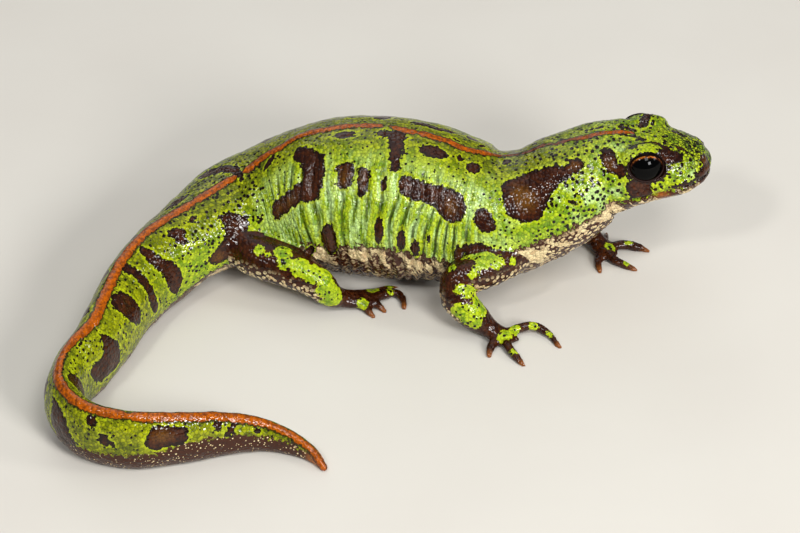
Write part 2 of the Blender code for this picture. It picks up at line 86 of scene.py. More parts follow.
# The tail stands on its lower edge: centre line x, y; half width, height; and roll in degrees.
TAIL = (
    (-20.0, -2.0, 4.3, 9.8, 1),
    (-23.4, -5.6, 3.2, 9.3, 10),
    (-26.0, -9.9, 2.6, 8.7, 14),
    (-27.7, -14.6, 2.3, 8.2, 13),
    (-29.3, -18.9, 2.0, 7.8, 10),
    (-31.0, -22.3, 1.9, 7.5, 6),
    (-31.4, -25.8, 1.9, 7.3, 2),
    (-29.4, -29.0, 1.75, 7.1, 0),
    (-25.4, -30.5, 1.6, 6.9, 0),
    (-20.4, -29.8, 1.45, 6.1, 0),
    (-15.8, -28.5, 1.25, 4.9, 0),
    (-12.2, -28.1, 1.05, 3.6, 0),
    (-9.6, -28.9, 0.8, 2.6, 0),
    (-7.9, -30.0, 0.55, 1.7, 0),
    (-6.9, -31.2, 0.25, 0.7, 0),
)
TAIL_BASE_CLEARANCE = 1.2
BLADE_START = 52.0
BLADE_LENGTH = 10.0

# Limbs: centre line x, y, z; half width and half height. Each root lies inside the body, and each
# limb bends at its fifth row.
RIGHT_FORELEG = (
    (13.0, -4.0, 6.2, 1.6, 1.7),
    (9.4, -7.8, 6.2, 1.7, 1.8),
    (7.4, -8.6, 5.9, 1.7, 1.85),
    (5.4, -9.2, 5.2, 1.6, 1.75),
    (5.5, -10.0, 4.0, 1.6, 1.65),
    (6.5, -10.6, 3.0, 1.55, 1.6),
    (7.6, -11.0, 2.1, 1.35, 1.3),
    (8.7, -11.4, 1.3, 1.05, 0.85),
    (9.7, -11.9, 0.9, 1.15, 0.65),
    (10.6, -12.2, 0.75, 1.1, 0.55),
    (11.2, -12.3, 0.7, 0.5, 0.3),
)
LEFT_FORELEG = (
    (11.0, -0.5, 6.3, 1.6, 1.7),
    (11.5, 1.5, 6.3, 1.6, 1.7),
    (12.4, 5.0, 6.2, 1.7, 1.8),
    (13.8, 7.6, 5.8, 1.7, 1.8),
    (15.3, 8.3, 5.0, 1.6, 1.7),
    (16.9, 6.7, 3.8, 1.5, 1.55),
    (18.4, 4.5, 2.5, 1.3, 1.25),
    (19.6, 2.6, 1.4, 1.0, 0.85),
    (20.3, 1.9, 0.95, 1.15, 0.65),
    (21.0, 1.5, 0.75, 1.1, 0.55),
    (21.5, 1.3, 0.7, 0.5, 0.3),
)
RIGHT_HIND_LEG = (
    (-16.4, -1.0, 5.2, 1.9, 2.0),
    (-15.4, -3.6, 5.2, 2.0, 2.1),
    (-13.4, -5.1, 5.0, 2.0, 2.1),
    (-11.2, -6.0, 4.7, 1.9, 2.0),
    (-9.3, -6.8, 4.3, 1.75, 1.8),
    (-7.8, -7.3, 3.4, 1.55, 1.6),
    (-6.9, -7.3, 2.3, 1.3, 1.3),
    (-5.7, -6.8, 1.4, 1.05, 0.95),
    (-4.4, -6.5, 1.0, 1.25, 0.7),
    (-3.2, -6.2, 0.75, 1.3, 0.6),
    (-2.5, -6.1, 0.7, 0.6, 0.3),
)
LEFT_HIND_LEG = (
    (-15.0, 0.8, 5.1, 1.8, 1.9),
    (-15.2, 3.0, 5.1, 1.9, 2.0),
    (-15.4, 6.2, 5.0, 2.0, 2.1),
    (-14.8, 9.0, 5.0, 1.95, 2.0),
    (-14.0, 11.2, 4.7, 1.75, 1.8),
    (-14.4, 12.7, 3.6, 1.55, 1.6),
    (-15.1, 13.5, 2.4, 1.3, 1.3),
    (-15.4, 14.1, 1.5, 1.05, 0.95),
    (-15.1, 14.9, 0.95, 1.2, 0.7),
    (-14.4, 15.6, 0.75, 1.3, 0.6),
    (-14.0, 16.0, 0.7, 0.6, 0.3),
)
JOINT_ROW = 4

# Fingers and toes: each runs through these x, y, z, the last being its tip.
DIGIT_RADII = (0.52, 0.46, 0.44, 0.26)
RIGHT_FINGERS = (
    ((10.0, -11.7, 0.8), (11.2, -10.9, 0.6), (12.3, -10.2, 0.35)),
    ((10.2, -11.9, 0.8), (11.7, -11.0, 1.0), (12.9, -10.8, 1.1), (14.2, -11.3, 0.8), (15.5, -13.1, 0.35)),
    ((10.0, -12.3, 0.8), (10.6, -13.8, 0.8), (11.2, -14.9, 0.6), (11.9, -15.9, 0.35)),
    ((9.6, -12.2, 0.7), (8.8, -13.4, 0.6), (8.6, -14.6, 0.35)),
)
LEFT_FINGERS = (
    ((20.4, 1.6, 0.7), (19.8, 0.0, 0.6), (19.9, -1.3, 0.35)),
    ((20.6, 1.6, 0.8), (21.4, 0.1, 0.8), (22.4, -0.5, 0.6), (23.5, -1.0, 0.35)),
    ((20.6, 1.8, 0.8), (22.1, 2.5, 0.8), (23.8, 2.4, 0.6), (24.9, 2.1, 0.35)),
    ((20.4, 2.0, 0.7), (20.6, 3.6, 0.6), (20.9, 4.9, 0.35)),
)
RIGHT_TOES = (
    ((-3.8, -6.0, 0.8), (-3.1, -4.9, 0.6), (-2.0, -4.3, 0.35)),
    ((-3.5, -6.1, 0.8), (-2.2, -5.2, 0.7), (-1.2, -4.1, 0.5), (-0.2, -3.7, 0.35)),
    ((-3.5, -6.2, 0.8), (-1.9, -5.9, 0.9), (-0.3, -5.2, 0.8), (0.3, -6.0, 0.6), (0.4, -7.1, 0.35)),
    ((-3.6, -6.4, 0.8), (-2.3, -6.9, 0.7), (-1.5, -7.6, 0.35)),
    ((-3.9, -6.6, 0.7), (-3.3, -7.6, 0.6), (-2.6, -8.4, 0.35)),
)
LEFT_TOES = (
    ((-14.9, 14.8, 0.8), (-13.6, 14.5, 0.6), (-12.3, 14.6, 0.35)),
    ((-14.7, 15.1, 0.8), (-13.1, 15.3, 0.8), (-11.5, 15.8, 0.35)),
    ((-14.7, 15.3, 0.8), (-13.3, 16.3, 0.9), (-12.0, 17.4, 0.35)),
    ((-14.8, 15.4, 0.8), (-14.1, 16.8, 0.8), (-13.3, 18.0, 0.35)),
    ((-15.1, 15.3, 0.7), (-15.1, 16.5, 0.6), (-15.0, 17.5, 0.35)),
)
LIMBS = (
    (RIGHT_FORELEG, RIGHT_FINGERS),
    (LEFT_FORELEG, LEFT_FINGERS),
    (RIGHT_HIND_LEG, RIGHT_TOES),
    (LEFT_HIND_LEG, LEFT_TOES),
)

# Line of the mouth: x and z, on both sides
MOUTH_LINE = ((21.6, 11.6), (24.5, 12.35), (27.0, 13.1), (29.0, 13.25), (32.0, 13.1))


class Side(Enum):
    """The two sides of the animal, and which way each lies from its middle."""

    RIGHT = -1
    LEFT = 1

    @property
    def word(self) -> str:
        """The side's name in the names of pieces."""
        return self.name.lower()


def in_metres(points: np.ndarray) -> np.ndarray:
    """Points of the drawing frame in the frame of the solids, in metres."""
    return (np.asarray(points, float) + CENTRING) * MM


def unit(vectors: Any) -> np.ndarray:
    """Vectors made one unit long."""
    vectors = np.asarray(vectors, float)
    return vectors / np.maximum(np.linalg.norm(vectors, axis=-1, keepdims=True), 1e-9)


def step_up(low: float, high: float, values: np.ndarray) -> np.ndarray:
    """A smooth step: 0 up to low, 1 from high on, and 3t^2 - 2t^3 between them."""
    part = np.clip((values - low) / (high - low), 0, 1)
    return part * part * (3 - 2 * part)


def hill(values: np.ndarray, width: float) -> np.ndarray:
    """A bell: 1 at 0, and e^-1 at one width from it."""
    return np.exp(-((values / width) ** 2))


def smooth_curve(knots: np.ndarray, values: np.ndarray, at: np.ndarray) -> np.ndarray:
    """Cubic Hermite curve through the values, read at the given places along the knots.

    Args:
        knots: rising places of the values.
        values: one row for each knot.
        at: places to read.

    Returns:
        One row for each place.
    """
    at = np.clip(at, knots[0], knots[-1])
    index = np.clip(np.searchsorted(knots, at, side="right") - 1, 0, len(knots) - 2)
    span = knots[index + 1] - knots[index]
    part = ((at - knots[index]) / span)[:, None]
    span = span[:, None]
    slope = np.gradient(values, knots, axis=0)
    before = (1 + 2 * part) * (1 - part) ** 2 * values[index]
    before = before + part * (1 - part) ** 2 * span * slope[index]
    after = part**2 * (3 - 2 * part) * values[index + 1]
    after = after - part**2 * (1 - part) * span * slope[index + 1]
    return before + after


def section_powers(blade: np.ndarray) -> tuple[np.ndarray, np.ndarray]:
    """Powers of sine and cosine that draw a section: 1 + blade/2 across, and 1 - 0.15 |blade| upright."""
    return 1 + 0.5 * blade, 1 - 0.15 * np.abs(blade)


def placed(name: str, data: Any) -> bpy.types.Object:
    """A new object of some data, in the scene.

    Args:
        name: the object's name.
        data: a mesh, light or camera.

    Returns:
        The object, at the origin.
    """
    obj = bpy.data.objects.new(name, data)
    bpy.context.scene.collection.objects.link(obj)
    return obj


def write_attribute(obj: bpy.types.Object, name: str, values: np.ndarray) -> None:
    """Gives each point of a mesh a number, or a vector where the values have three columns.

    Args:
        obj: the mesh object.
        name: the attribute's name.
        values: one number or one row for each point.
    """
    single = values.ndim == 1
    layer = obj.data.attributes.new(name, "FLOAT" if single else "FLOAT_VECTOR", "POINT")
    layer.data.foreach_set("value" if single else "vector", values.astype(np.float32).ravel())


class OvalTrack:
    """A centre line with the size, roll and form of the oval section at each of its points."""

    NEAR = 0.05

    def __init__(self, rows: Any) -> None:
        """Works out the distance of each row along the track.

        Args:
            rows: x, y, z, half width, rise, drop, roll and blade.
        """
        self.rows = np.array(rows, float)
        steps = np.linalg.norm(np.diff(self.rows[:, :3], axis=0), axis=1)
        self.knots = np.concatenate([[0.0], np.cumsum(steps)])
        self.length = float(self.knots[-1])

    def read(self, at: Any) -> np.ndarray:
        """The row at each distance along the track."""
        return smooth_curve(self.knots, self.rows, np.asarray(at, float))

    def frames(self, at: Any) -> tuple[np.ndarray, np.ndarray, np.ndarray, np.ndarray]:
        """Directions of the sections.

        The way forward is the difference of two near points. Up is +Z less its part along the track,
        and both turn about the track by the roll.

        Args:
            at: distances along the track.

        Returns:
            The rows, and the directions forward, to the section's top and to its left.
        """
        at = np.asarray(at, float)
        here = self.read(at)
        forward = unit(self.read(at - self.NEAR)[:, :3] - self.read(at + self.NEAR)[:, :3])
        up = unit(np.array([0.0, 0.0, 1.0]) - forward * forward[:, 2:3])
        side = np.cross(up, forward)
        roll = np.radians(here[:, ROLL])[:, None]
        top = up * np.cos(roll) + side * np.sin(roll)
        left = side * np.cos(roll) - up * np.sin(roll)
        return here, forward, top, left

    def rings(self, at: Any, sides: int) -> np.ndarray:
        """Section outlines, each a ring of points that starts at the top and goes to the left.

        A point lies at half width x sin^(1 + blade/2) across and at rise or drop x cos^(1 - 0.15
        blade) above the centre, which is an ellipse where blade is 0.

        Args:
            at: distances along the track.
            sides: points in a ring.

        Returns:
            Points in an array of places x sides x 3.
        """
        here, _, top, left = self.frames(at)
        angle = np.arange(sides) * 2 * math.pi / sides
        cos = np.cos(angle)[None]
        sin = np.sin(angle)[None]
        width, rise, drop, blade = (here[:, [column]] for column in (WIDTH, RISE, DROP, BLADE))
        sideways, upright = section_powers(blade)
        across = width * np.sign(sin) * np.abs(sin) ** sideways
        height = np.where(cos > 0, rise, drop) * np.sign(cos) * np.abs(cos) ** upright
        centre = here[:, None, :3]
        return centre + left[:, None] * across[..., None] + top[:, None] * height[..., None]


def body_track() -> OvalTrack:
    """The track of the body and tail.

    Returns:
        The track, from the snout to the tip of the tail.
    """
    rows = [list(row) for row in SNOUT_TO_VENT]
    for number, (x, y, width, height, roll) in enumerate(TAIL):
        clearance = TAIL_BASE_CLEARANCE if number == 0 else 0.0
        half = (height - clearance) / 2
        rows.append([x, y, clearance + half, width, half, half, roll, 0.0])
    track = OvalTrack(rows)
    track.rows[:, BLADE] += np.clip((track.knots - BLADE_START) / BLADE_LENGTH, 0, 1)
    return track


def limb_track(rows: Any) -> OvalTrack:
    """The track of a limb or a part of one, from rows of x, y, z, half width and half height."""
    return OvalTrack([(x, y, z, width, height, height, 0, 0) for x, y, z, width, height in rows])


def digit_track(points: Any) -> OvalTrack:
    """The track of a finger or toe, thinning along DIGIT_RADII.

    Args:
        points: places it runs through, the last being its tip.

    Returns:
        The track.
    """
    places = np.linspace(0, 1, len(points))
    radii = np.interp(places, np.linspace(0, 1, len(DIGIT_RADII)), DIGIT_RADII)
    return limb_track([(*point, r, r) for point, r in zip(points, radii)])


def spaced(start: float, end: float, step: float) -> np.ndarray:
    """Even places from start to end, no more than a step apart."""
    return np.linspace(start, end, max(3, math.ceil((end - start) / step) + 1))


@dataclass
class Lattice:
    """Smooth random fields over space, the same each run.

    A field has a random number at each whole point of space and blends the eight around a point with
    smooth weights. Cells have a random centre in each unit cube instead.
    """

    seed: int
    size: int = 32
    spread: float = 0.4
    table: np.ndarray = field(init=False)

    def __post_init__(self) -> None:
        """Draws the numbers."""
        self.table = np.random.default_rng(self.seed).uniform(-1, 1, (self.size,) * 3 + (3,))

    def at(self, corner: np.ndarray) -> np.ndarray:
        """The three numbers at each whole point, the table being repeated over space."""
        wrapped = np.mod(corner, self.size)
        return self.table[wrapped[:, 0], wrapped[:, 1], wrapped[:, 2]]

    def field_of(self, points: np.ndarray) -> np.ndarray:
        """The smooth field: the eight numbers round each point, weighed by 3t^2 - 2t^3 along each axis.

        Args:
            points: n x 3.

        Returns:
            A value from -1 to 1 for each point.
        """
        corner = np.floor(points).astype(int)
        part = points - corner
        part = part * part * (3 - 2 * part)
        total = np.zeros(len(points))
        for shift in np.ndindex(2, 2, 2):
            weight = np.where(np.array(shift), part, 1 - part).prod(axis=1)
            total += weight * self.at(corner + np.array(shift))[:, 0]
        return total

    def cells(self, points: np.ndarray) -> np.ndarray:
        """Distance to the nearest cell centre, looked for in the 27 cells round each point.

        Args:
            points: n x 3, in cell widths.

        Returns:
            Distances in cell widths.
        """
        corner = np.floor(points).astype(int)
        nearest = np.full(len(points), np.inf)
        for shift in np.ndindex(3, 3, 3):
            cell = corner + np.array(shift) - 1
            centre = cell + 0.5 + self.spread * self.at(cell)
            nearest = np.minimum(nearest, np.linalg.norm(points - centre, axis=1))
        return nearest


@dataclass
class Surface:
    """A closed mesh of triangles as numpy arrays, in the drawing frame."""

    SHRINK = 0.5
    GROW = -0.53

    points: np.ndarray
    triangles: np.ndarray

    def edges(self) -> tuple[np.ndarray, np.ndarray]:
        """Edges, found as pairs of point numbers that are alike once each pair is sorted.

        Returns:
            Each edge once, and the number of each triangle's three edges.
        """
        ends = self.triangles[:, [[0, 1], [1, 2], [2, 0]]].reshape(-1, 2)
        ends = np.sort(ends, axis=1)
        count = len(self.points)
        keys, index = np.unique(ends[:, 0].astype(np.int64) * count + ends[:, 1], return_inverse=True)
        return np.stack([keys // count, keys % count], axis=1), index.reshape(-1, 3)

    def corners(self) -> tuple[np.ndarray, np.ndarray, np.ndarray]:
        """The first, second and third point of each triangle."""
        return tuple(self.points[self.triangles[:, k]] for k in range(3))

    def face_outward(self) -> None:
        """Turns the triangles round where the volume they enclose, a sum of a.(b x c), is below 0."""
        a, b, c = (corner - self.points[0] for corner in self.corners())
        if np.einsum("ij,ij->", a, np.cross(b, c)) < 0:
            self.triangles = self.triangles[:, ::-1].copy()

    def normals(self) -> np.ndarray:
        """The outward direction at each point: the sum of its triangles' normals, which weigh by area.

        Returns:
            One unit vector for each point.
        """
        a, b, c = self.corners()
        face = np.cross(b - a, c - a)
        total = np.zeros_like(self.points)
        for axis in range(3):
            for corner in range(3):
                total[:, axis] += np.bincount(self.triangles[:, corner], face[:, axis], len(self.points))
        return unit(total)

    def relax(self, steps: int, weight: Any = 1.0, keep_size: bool = True) -> None:
        """Moves each point towards the mean of its neighbours.

        Args:
            steps: how many times.
            weight: how much each point takes part, from 0 to 1.
            keep_size: after each step, one a little larger away from that mean, so nothing shrinks.
        """
        edges, _ = self.edges()
        ends = np.concatenate([edges, edges[:, ::-1]])
        count = np.bincount(ends[:, 0], minlength=len(self.points))[:, None]
        weight = np.broadcast_to(np.asarray(weight, float).reshape(-1, 1), (len(self.points), 1))
        for _ in range(steps):
            for share in (self.SHRINK, self.GROW) if keep_size else (self.SHRINK,):
                beside = self.points[ends[:, 1]].T
                total = np.stack([np.bincount(ends[:, 0], part, len(count)) for part in beside], axis=1)
                self.points = self.points + (total / count - self.points) * weight * share

    def refine(self, chosen: np.ndarray) -> None:
        """Halves the edges whose two ends are chosen.

        A triangle with three such edges becomes four, and one with a single such edge two, so the
        mesh stays closed.

        Args:
            chosen: True for each chosen point.
        """
        edges, of_triangle = self.edges()
        split = chosen[edges].all(axis=1)
        middle = np.full(len(edges), -1)
        middle[split] = len(self.points) + np.arange(split.sum())
        middles = middle[of_triangle]
        number = (middles >= 0).sum(axis=1)
        whole = self.triangles[number == 0]
        a, b, c = self.triangles[number == 3].T
        ab, bc, ca = middles[number == 3].T
        quarters = ((a, ab, ca), (ab, b, bc), (ca, bc, c), (ab, bc, ca))
        four = np.concatenate([np.stack(quarter, axis=1) for quarter in quarters])
        one = number == 1
        turn = (np.argmax(middles[one] >= 0, axis=1)[:, None] + np.arange(3)) % 3
        a, b, c = np.take_along_axis(self.triangles[one], turn, axis=1).T
        ab = middles[one].max(axis=1)
        two = np.concatenate([np.stack([a, ab, c], axis=1), np.stack([ab, b, c], axis=1)])
        self.points = np.concatenate([self.points, self.points[edges[split]].mean(axis=1)])
        self.triangles = np.concatenate([whole, four, two])

    def to_object(self, name: str) -> bpy.types.Object:
        """A mesh object of the surface, in metres and shaded smooth.

        Args:
            name: the piece's name.

        Returns:
            The object, at the origin.
        """
        mesh = bpy.data.meshes.new(name)
        count = len(self.triangles)
        mesh.vertices.add(len(self.points))
        mesh.vertices.foreach_set("co", in_metres(self.points).astype(np.float32).ravel())
        mesh.loops.add(count * 3)
        mesh.loops.foreach_set("vertex_index", self.triangles.astype(np.int32).ravel())
        mesh.polygons.add(count)
        mesh.polygons.foreach_set("loop_start", np.arange(count, dtype=np.int32) * 3)
        mesh.update(calc_edges=True)
        mesh.shade_smooth()
        return placed(name, mesh)


def grid_triangles(rows: int, sides: int) -> np.ndarray:
    """Triangles between rings of points that are closed round each ring.

    Args:
        rows: rings.
        sides: points in a ring.

    Returns:
        Point numbers, two triangles for each cell of the grid.
    """
    ring, k = np.meshgrid(np.arange(rows - 1), np.arange(sides), indexing="ij")
    a = (ring * sides + k).ravel()
    b = (ring * sides + (k + 1) % sides).ravel()
    halves = ((a, b, b + sides), (a, b + sides, a + sides))
    return np.concatenate([np.stack(half, axis=1) for half in halves])


def closed_sweep(rings: np.ndarray) -> Surface:
    """A closed surface over a stack of rings, with a fan of triangles to the middle of each end ring.

    Args:
        rings: points in an array of rings x sides x 3, each ring going round to the left of the way
            from the last ring to the first.

    Returns:
        The surface, with its faces outward.
    """
    rows, sides = rings.shape[:2]
    points = np.concatenate([rings.reshape(-1, 3), rings[[0, -1]].mean(axis=1)])
    first, last = np.full(sides, len(points) - 2), np.full(sides, len(points) - 1)
    k = np.arange(sides)
    n = (k + 1) % sides
    base = (rows - 1) * sides
    caps = [np.stack(fan, axis=1) for fan in ((first, n, k), (last, base + k, base + n))]
    surface = Surface(points, np.concatenate([grid_triangles(rows, sides), *caps]))
    surface.face_outward()
    return surface


def domed(rings: np.ndarray, at_end: bool = True) -> np.ndarray:
    """The rings with a round dome beyond the last one, or beyond the first.

    The dome's rings shrink as the cosine of a turn and stand off as its sine.

    Args:
        rings: points in an array of rings x sides x 3.
        at_end: True for a dome beyond the last ring.

    Returns:
        The rings, with those of the dome.
    """
    rings = rings if at_end else rings[::-1]
    middle = rings[-1].mean(axis=0)
    along = unit(middle - rings[-2].mean(axis=0))
    spoke = rings[-1] - middle
    depth = np.linalg.norm(spoke, axis=1).mean()
    turns = np.linspace(0, 0.5 * math.pi, 8)[1:-1]
    dome = [middle + along * depth * math.sin(turn) + spoke * math.cos(turn) for turn in turns]
    rings = np.concatenate([rings, np.array(dome)])
    return rings if at_end else rings[::-1]


def ellipsoid(centre: np.ndarray, radii: Any) -> Surface:
    """An ellipsoid: sines and cosines of two angles times the three radii.

    Args:
        centre: its middle.
        radii: half its size along x, y and z.

    Returns:
        Its surface.
    """
    tilt = np.linspace(0, math.pi, 22)[1:-1, None]
    turn = np.arange(32)[None] * 2 * math.pi / 32
    level = np.sin(tilt)
    ball = np.stack([level * np.cos(turn), level * np.sin(turn), np.cos(tilt) + 0 * turn], axis=2)
    return closed_sweep(ball * np.asarray(radii) + centre)


@dataclass
class EyeSeat:
    """Where an eye sits in the head, and the oval opening between its lids."""

    side: Side
    level: tuple[float, float, float] = (23.6, HEAD_MIDDLE, 13.1)
    offset: tuple[float, float, float] = (0.0, 2.35, 1.85)
    outlook: tuple[float, float, float] = (0.15, 0.95, 0.27)
    radius: float = 2.05
    opening: tuple[float, float] = (1.68, 1.34)
    swelling: tuple[float, float, float] = (2.5, 2.15, 1.95)
    brow: float = 0.0
    ring: float = 1.24

    def __post_init__(self) -> None:
        """Works out the centre and the three directions of the seat."""
        mirror = np.array([1.0, self.side.value, 1.0])
        self.centre = np.array(self.level) + np.array(self.offset) * mirror
        self.facing = unit(np.array(self.outlook) * mirror)
        self.along = unit(np.array([1.0, 0.0, 0.0]) - self.facing * self.facing[0])
        self.upward = np.cross(self.along, self.facing) * self.side.value

    def measure(self, points: np.ndarray) -> tuple[np.ndarray, np.ndarray, np.ndarray]:
        """Places of points along, up and out from the eye's centre."""
        away = points - self.centre
        return away @ self.along, away @ self.upward, away @ self.facing

    def share(self, points: np.ndarray) -> np.ndarray:
        """How far out each point is over the oval opening: 0 in its middle and 1 at its edge."""
        along, up, _ = self.measure(points)
        return np.hypot(along / self.opening[0], up / self.opening[1])

    def place(self, along: Any, up: Any, out: Any) -> np.ndarray:
        """Points at the given places along, up and out from the eye's centre."""
        parts = [np.asarray(v, float)[..., None] for v in (along, up, out)]
        return self.centre + parts[0] * self.along + parts[1] * self.upward + parts[2] * self.facing

    def dome(self, along: np.ndarray, up: np.ndarray) -> np.ndarray:
        """How far out the eyeball stands at each place: the root of what a sphere's radius leaves."""
        return np.sqrt(np.maximum(self.radius**2 - along**2 - up**2, 0.0))


# The head turns a little towards the camera, which carries the far brow forward.
EYE_SEATS = (EyeSeat(Side.RIGHT), EyeSeat(Side.LEFT, brow=0.5, ring=0.95))


def mouth_height(x: np.ndarray) -> np.ndarray:
    """Height of the line of the mouth at each x."""
    line = np.array(MOUTH_LINE)
    return smooth_curve(line[:, 0], line[:, 1:], np.asarray(x, float).ravel())[:, 0]


@dataclass
class Chart:
    """The animal's own coordinates at each point of its skin.

    along is the distance from the snout down the centre line, and girth the distance round the
    section from the ridge of the back, above 0 on the right side. half is half the section's
    outline. off_body and off_limb are the distances out from the body's and the nearest limb's
    own surfaces.
    """

    along: np.ndarray
    girth: np.ndarray
    half: np.ndarray
    off_body: np.ndarray
    off_limb: np.ndarray

    @property
    def limb(self) -> np.ndarray:
        """1 on the limbs and 0 on the body, with a short blend where they join."""
        return step_up(-0.3, 0.4, self.off_body - self.off_limb)

    @property
    def share(self) -> np.ndarray:
        """Distance round the girth as a share of half the outline: 0 at the ridge, 1 under the belly."""
        return np.abs(self.girth) / self.half


class Surveyor:
    """Finds the animal's own coordinates of points on its skin."""

    STATION = 0.5
    SAMPLE = 0.25
    TURNS = 91
    CHUNK = 20000
    SLIDES = 5

    def __init__(self) -> None:
        """Lays out stations along the body and samples of the limbs' centre lines."""
        self.body = body_track()
        self.stations = np.arange(0, self.body.length, self.STATION)
        here = self.body.read(self.stations)
        turn = np.linspace(0, math.pi, self.TURNS)[None]
        sideways, upright = section_powers(here[:, [BLADE]])
        across = here[:, [WIDTH]] * np.sin(turn) ** sideways
        cos = np.cos(turn)
        reach = np.where(cos > 0, here[:, [RISE]], here[:, [DROP]])
        height = reach * np.sign(cos) * np.abs(cos) ** upright
        steps = np.hypot(np.diff(across, axis=1), np.diff(height, axis=1))
        self.arcs = np.concatenate([np.zeros((len(here), 1)), np.cumsum(steps, axis=1)], axis=1)
        tracks = []
        for rows, digits in LIMBS:
            tracks += [limb_track(rows), *(digit_track(points) for points in digits)]
        samples = [track.read(spaced(0, track.length, self.SAMPLE)) for track in tracks]
        self.limbs = np.concatenate(samples)

    def nearest(self, points: np.ndarray, centres: np.ndarray, radii: Any) -> tuple[np.ndarray, np.ndarray]:
        """For each point, the centre with the least distance less its radius.

        Args:
            points: n x 3.
            centres: m x 3.
            radii: m radii, or one number.

        Returns:
            The centre's number and that distance.
        """
        numbers, distances = [], []
        for start in range(0, len(points), self.CHUNK):
            block = points[start : start + self.CHUNK]
            square = (block**2).sum(axis=1)[:, None] + (centres**2).sum(axis=1) - 2 * block @ centres.T
            gap = np.sqrt(np.maximum(square, 0)) - radii
            numbers.append(gap.argmin(axis=1))
            distances.append(gap.min(axis=1))
        return np.concatenate(numbers), np.concatenate(distances)

    def survey(self, points: np.ndarray) -> Chart:
        """Reads the chart at points.

        The place along the body starts at the nearest station, and is slid along until the point
        stands square to the centre line. The turn round the section comes from the same powers of
        sine and cosine that draw it, and the girth from the summed lengths of the outline's steps.

        Args:
            points: n x 3 in the drawing frame.

        Returns:
            The chart.
        """
        centres = self.body.read(self.stations)[:, :3]
        station, _ = self.nearest(points, centres, 0.0)
        along = self.stations[station]
        for _ in range(self.SLIDES):
            here, forward, _, _ = self.body.frames(along)
            slide = ((points - here[:, :3]) * -forward).sum(axis=1)
            along = np.clip(along + np.clip(slide, -0.6, 0.6) * 0.8, 0, self.body.length)
        here, _, top, left = self.body.frames(along)
        away = points - here[:, :3]
        across = (away * left).sum(axis=1)
        height = (away * top).sum(axis=1)
        sideways, upright = section_powers(here[:, BLADE])
        sin = (np.abs(across) / here[:, WIDTH]) ** (1 / sideways)
        reach = np.where(height > 0, here[:, RISE], here[:, DROP])
        cos = (np.abs(height) / reach) ** (1 / upright) * np.sign(height)
        turn = np.arctan2(sin, cos)
        row = np.clip(along / self.STATION, 0, len(self.stations) - 1.001)
        column = np.clip(turn / math.pi * (self.TURNS - 1), 0, self.TURNS - 1.001)
        r, c = row.astype(int), column.astype(int)
        pr, pc = row - r, column - c
        upper = self.arcs[r, c] * (1 - pc) + self.arcs[r, c + 1] * pc
        lower = self.arcs[r + 1, c] * (1 - pc) + self.arcs[r + 1, c + 1] * pc
        girth = (upper * (1 - pr) + lower * pr) * -np.sign(across)
        half = self.arcs[r, -1] * (1 - pr) + self.arcs[r + 1, -1] * pr
        off_body = (np.hypot(sin, cos) - 1) * np.minimum(here[:, WIDTH], reach)
        radii = np.minimum(self.limbs[:, WIDTH], self.limbs[:, RISE])
        _, off_limb = self.nearest(points, self.limbs[:, :3], radii)
        return Chart(along, girth, half, off_body, off_limb)


class Mark:
    """A marking on the skin, drawn in millimetres along the body and round its girth."""

    def depth(self, at: np.ndarray) -> np.ndarray:
        """How far inside the marking each place is, below 0 outside it."""
        raise NotImplementedError

    def places(self) -> np.ndarray:
        """Places that the marking is drawn through."""
        raise NotImplementedError

    def mirrored(self, shift: float) -> "Mark":
        """The marking on the other side, moved towards the tail by a shift."""
        raise NotImplementedError


@dataclass(frozen=True)
class Blotch(Mark):
    """A marking with a given outline, rounded by cutting its corners twice."""

    outline: tuple[tuple[float, float], ...]

    def depth(self, at: np.ndarray) -> np.ndarray:
        """Distance to the nearest stretch of the outline, with its sign from the number of crossings.

        Args:
            at: n x 2, along the body and round the girth.

        Returns:
            The depth of each place.
        """
        corners = np.array(self.outline, float)
        for _ in range(2):
            after = np.roll(corners, -1, axis=0)
            cuts = [corners * 0.75 + after * 0.25, corners * 0.25 + after * 0.75]
            corners = np.stack(cuts, axis=1).reshape(-1, 2)
        after = np.roll(corners, -1, axis=0)
        low, high = corners.min(axis=0) + OUTSIDE, corners.max(axis=0) - OUTSIDE
        near = ((at > low) & (at < high)).all(axis=1)
        result = np.full(len(at), OUTSIDE)
        p = at[near][:, None]
        run = (after - corners)[None]
        part = np.clip(((p - corners) * run).sum(axis=2) / np.maximum((run**2).sum(axis=2), 1e-9), 0, 1)
        distance = np.linalg.norm(p - corners - run * part[..., None], axis=2).min(axis=1)
        above = corners[None, :, 1] > p[..., 1]
        crosses = above != (after[None, :, 1] > p[..., 1])
        rise = np.where(run[..., 1] == 0, 1e-9, run[..., 1])
        where = corners[None, :, 0] + (p[..., 1] - corners[None, :, 1]) / rise * run[..., 0]
        inside = (crosses & (p[..., 0] < where)).sum(axis=1) % 2 == 1
        result[near] = np.where(inside, distance, -distance)
        return result

    def places(self) -> np.ndarray:
        """The corners of the outline."""
        return np.array(self.outline)

    def mirrored(self, shift: float) -> Mark:
        """The blotch with its girths' signs turned."""
        return Blotch(tuple((s + shift, -g) for s, g in self.outline))


